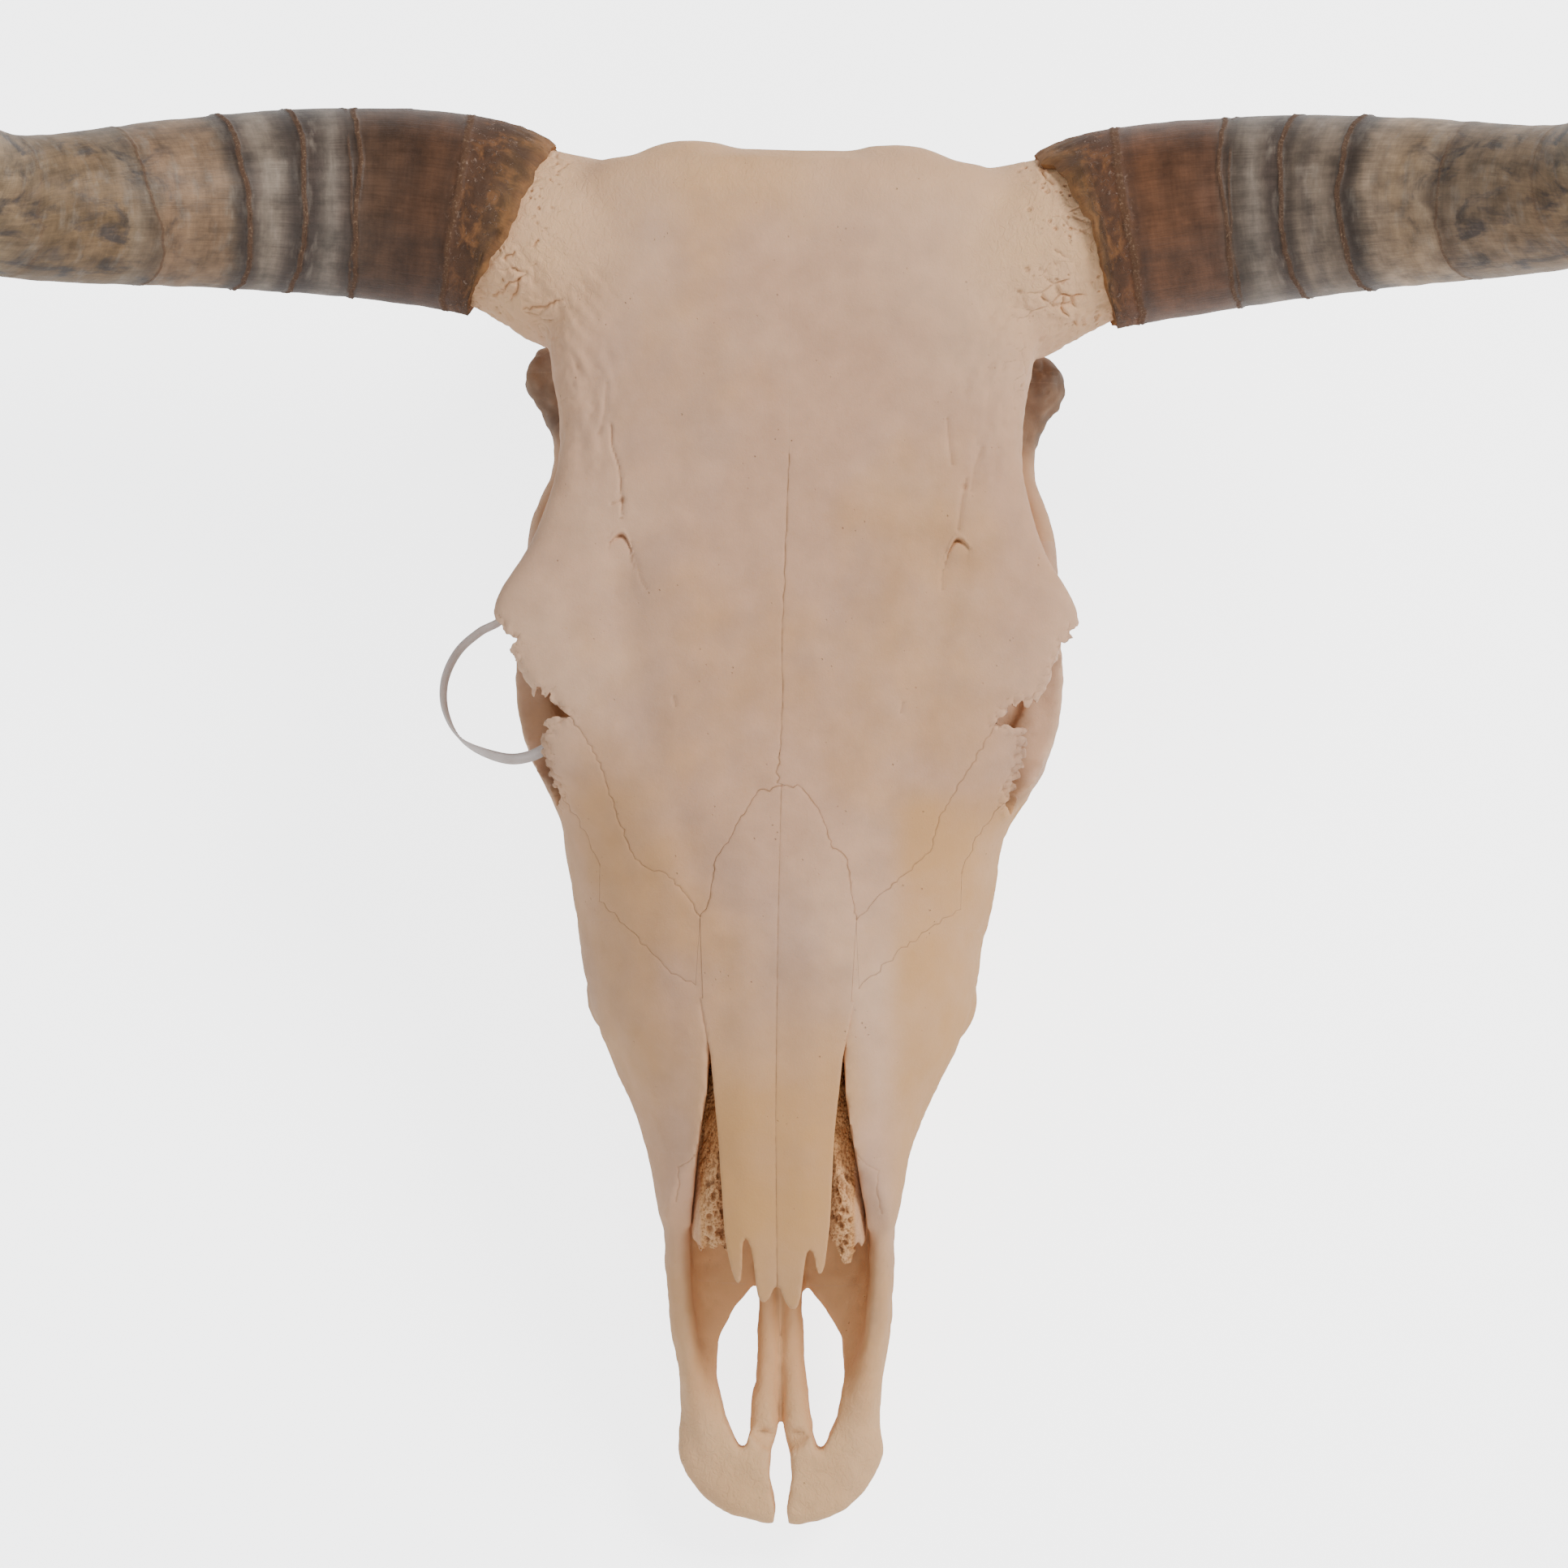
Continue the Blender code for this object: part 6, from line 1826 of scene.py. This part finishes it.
def makeToothMaterial(groups):
    material, tree, shader = newMaterial("toothFinish")
    where = objectPlace(tree)
    streak = noiseOf(tree, stretched(tree, where, (260.0, 260.0, 40.0)), 1.0, 4.0, 0.6)
    tone = mixed(tree, spread(tree, streak, 0.42, 0.62), enamel["main"], enamel["neck"])
    patch = noiseOf(tree, where, 120.0, 4.0, 0.6)
    tone = mixed(tree, spread(tree, patch, 0.5, 0.7, 0.0, 0.75), tone, enamel["stain"])
    feed(tree, tone, shader.inputs["Base Color"])
    feed(tree, spread(tree, patch, 0.3, 0.7, 0.3, 0.55), shader.inputs["Roughness"])
    grain = useGroup(tree, groups["grain"], Where=where, Rough=0.3)
    bumped(tree, shader, grain["Height"], enamel["bump"])
    return material


plastic = {"main": (0.74, 0.66, 0.63), "dusty": (0.55, 0.47, 0.42),
           "glow": (0.25, (0.003, 0.002, 0.002)), "bump": 0.0001}


def makeTieMaterial():
    material, tree, shader = newMaterial("tiePlasticFinish")
    where = objectPlace(tree)
    dust = spread(tree, noiseOf(tree, where, 160.0, 4.0, 0.65), 0.42, 0.7)
    tone = laid(tree, plastic["main"], dust, 0.5, plastic["dusty"])
    feed(tree, tone, shader.inputs["Base Color"])
    feed(tree, spread(tree, dust, 0.0, 1.0, 0.32, 0.55), shader.inputs["Roughness"])
    letLightIn(shader, *plastic["glow"])
    bumped(tree, shader, noiseOf(tree, where, 900.0, 3.0), plastic["bump"])
    return material


# The whole model

def dress(piece, material, slot, *nodes):
    piece.data.materials.clear()
    piece.data.materials.append(material)
    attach(piece, "root")
    if nodes:
        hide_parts(*nodes)


def makeGroups():
    return {"tone": makeToneGroup(), "grain": makeGrainGroup(), "streaks": makeStreakGroup()}


def makeBones():
    skullPiece = fuseHead()
    print("head melted")
    hollowHead(skullPiece)
    print("head hollowed", len(skullPiece.data.polygons))
    for level in (0.5, 1.5):
        refine(skullPiece, level)
    sculpt(skullPiece)
    print("head sculpted", len(skullPiece.data.polygons))
    bones = []
    for side, word in bothSides:
        bones.append((makeNasal(skullPiece, side, word), f"nasal_bone_{word}"))
    for side, word in bothSides:
        for name, node, regions in (
            ("premaxillaBone", "premaxilla", sideRegions("premaxillaSide", nearLimit(side), side)),
            ("foreheadBone", "frontal_bone", browRegions(side)),
            ("tearBone", "lacrimal_bone", tearRegions(side)),
            ("cheekBone", "cheekbone", sideRegions("cheekSide", seams["cheekInner"], side)),
            ("upperJaw", "upper_jaw", sideRegions("jawSide", nearLimit(side), side)),
        ):
            bones.append((take(skullPiece, f"{name}_{word}", regions), f"{node}_{word}"))
        print("bones parted", word)
    skullPiece.name = "brainBox"
    bones.append((skullPiece, "braincase"))
    return bones


def main():
    groups = makeGroups()
    boneMaterial = makeBoneMaterial("boneFinish", groups)
    baseMaterial = makeBoneMaterial("boneBaseFinish", groups, 0.25)
    for piece, node in makeBones():
        if node.startswith("nasal"):
            sculpt(piece, upright=True)
        addMasks(piece)
        if node == "braincase":
            trimAtFloor(piece)
        settle(piece)
        dress(piece, baseMaterial if node == "braincase" else boneMaterial, "bone", node)
        print(node, len(piece.data.polygons))
    toothMaterial = makeToothMaterial(groups)
    spongyMaterial = makeSpongyMaterial(groups)
    for side, word in bothSides:
        row = makeTeeth(side, word)
        settle(row)
        dress(row, toothMaterial, "bone")
        curl = makeTurbinate(side, word)
        settle(curl)
        dress(curl, spongyMaterial, "spongy_bone", f"turbinate_{word}")
        sheath = makeHorn(side, word)
        settle(sheath, False)
        dress(sheath, makeHornMaterial(side, word, groups), "horn", f"horn_{word}")
    print("teeth, spongy bone and horns made")
    band = makeTie()
    settle(band)
    dress(band, makeTieMaterial(), "tie_plastic", "cable_tie")


def trimAtFloor(piece):             # a slab below the floor takes what hangs through it
    form = bmesh.new()
    thickness, widening = 0.1, 10.0
    place = toRoom.inverted() @ Matrix.Translation((0.0, 0.0, -thickness / 2))
    place = place @ Matrix.Diagonal((widening, widening, 1.0, 1.0))
    bmesh.ops.create_cube(form, size=thickness, matrix=place)
    carve(piece, newPiece("tool", form))


# Floor, light and camera

stage = {
    "floorTone": (0.93, 0.93, 0.93),
    "floorRoughness": 0.85,
    "floorGlow": ((0.97, 0.985, 1.0), 0.4, 3.4),      # tint, light given, brightness seen
    "floorSize": 6.0,
    # place, aim, size, power, tint
    "lights": (((1.45, 0.85, 1.85), (0.0, 0.0, 0.1), 1.1, 56.0, (1.0, 0.96, 0.92)),
               ((-1.6, -0.2, 1.8), (0.0, 0.0, 0.1), 1.6, 8.0, (0.96, 0.98, 1.0)),
               ((0.3, -1.9, 1.5), (0.0, -0.2, 0.1), 1.4, 17.0, (1.0, 0.98, 0.96))),
    "sky": (0.36, 3.9),         # light given, brightness seen
}
shot = {
    "distance": 2.4,            # metres from the forehead's origin
    "perPixel": 0.00031,        # metres in the forehead's plane for a pixel of a 1932 wide picture
    "frame": 1932,
    "sensor": 36.0,
    "yawDeg": 1.4,
    "rollDeg": 1.3,
    "aim": (2.0, 0.0, 0.0),
}


def shownAs(tree, given, seen):     # the backdrop is paler than the light that it gives
    path = addNode(tree, "ShaderNodeLightPath")
    return spread(tree, path.outputs["Is Camera Ray"], 0.0, 1.0, given, seen)


def makeStage():
    form = bmesh.new()
    bmesh.ops.create_grid(form, x_segments=2, y_segments=2, size=stage["floorSize"])
    floor = newPiece("floor", form)
    material, tree, shader = newMaterial("floorFinish")
    shader.inputs["Base Color"].default_value = (*stage["floorTone"], 1.0)
    shader.inputs["Roughness"].default_value = stage["floorRoughness"]
    glow, given, seen = stage["floorGlow"]
    shader.inputs["Emission Color"].default_value = (*glow, 1.0)
    feed(tree, shownAs(tree, given, seen), shader.inputs["Emission Strength"])
    floor.data.materials.append(material)
    for index, (place, aim, size, power, tint) in enumerate(stage["lights"]):
        light = bpy.data.lights.new(f"softBox{index + 1}", "AREA")
        light.shape = "DISK"
        light.size = size
        light.energy = power
        light.color = tint
        lamp = bpy.data.objects.new(light.name, light)
        lamp.location = place
        lamp.rotation_euler = (Vector(aim) - Vector(place)).to_track_quat("-Z", "Y").to_euler()
        bpy.context.scene.collection.objects.link(lamp)
    world = bpy.data.worlds.new("studio")
    world.use_nodes = True
    sheet = world.node_tree.nodes["Background"]
    sheet.inputs["Color"].default_value = (1.0, 1.0, 1.0, 1.0)
    feed(world.node_tree, shownAs(world.node_tree, *stage["sky"]), sheet.inputs["Strength"])
    bpy.context.scene.world = world


def makeCamera():
    a, p = math.radians(shot["yawDeg"]), math.radians(shot["rollDeg"])
    right = Vector((math.cos(a) * math.cos(p), math.sin(p), -math.sin(a) * math.cos(p)))
    back = Vector((math.sin(a), 0.0, math.cos(a)))
    up = back.cross(right)
    turn = Matrix.Rotation(math.radians(skull["tiltDeg"]), 4, "X").to_3x3()
    axes = turn @ Matrix((right, up, back)).transposed()
    data = bpy.data.cameras.new("camera")
    data.sensor_width = shot["sensor"]
    data.lens = shot["sensor"] * shot["distance"] / (shot["frame"] * shot["perPixel"])
    camera = bpy.data.objects.new("camera", data)
    spot = toRoom @ Vector(shot["aim"]) + turn @ back * shot["distance"]
    camera.matrix_world = Matrix.Translation(spot) @ axes.to_4x4()
    bpy.context.scene.collection.objects.link(camera)
    bpy.context.scene.camera = camera


makeCamera()
makeStage()
main()
print("model made")
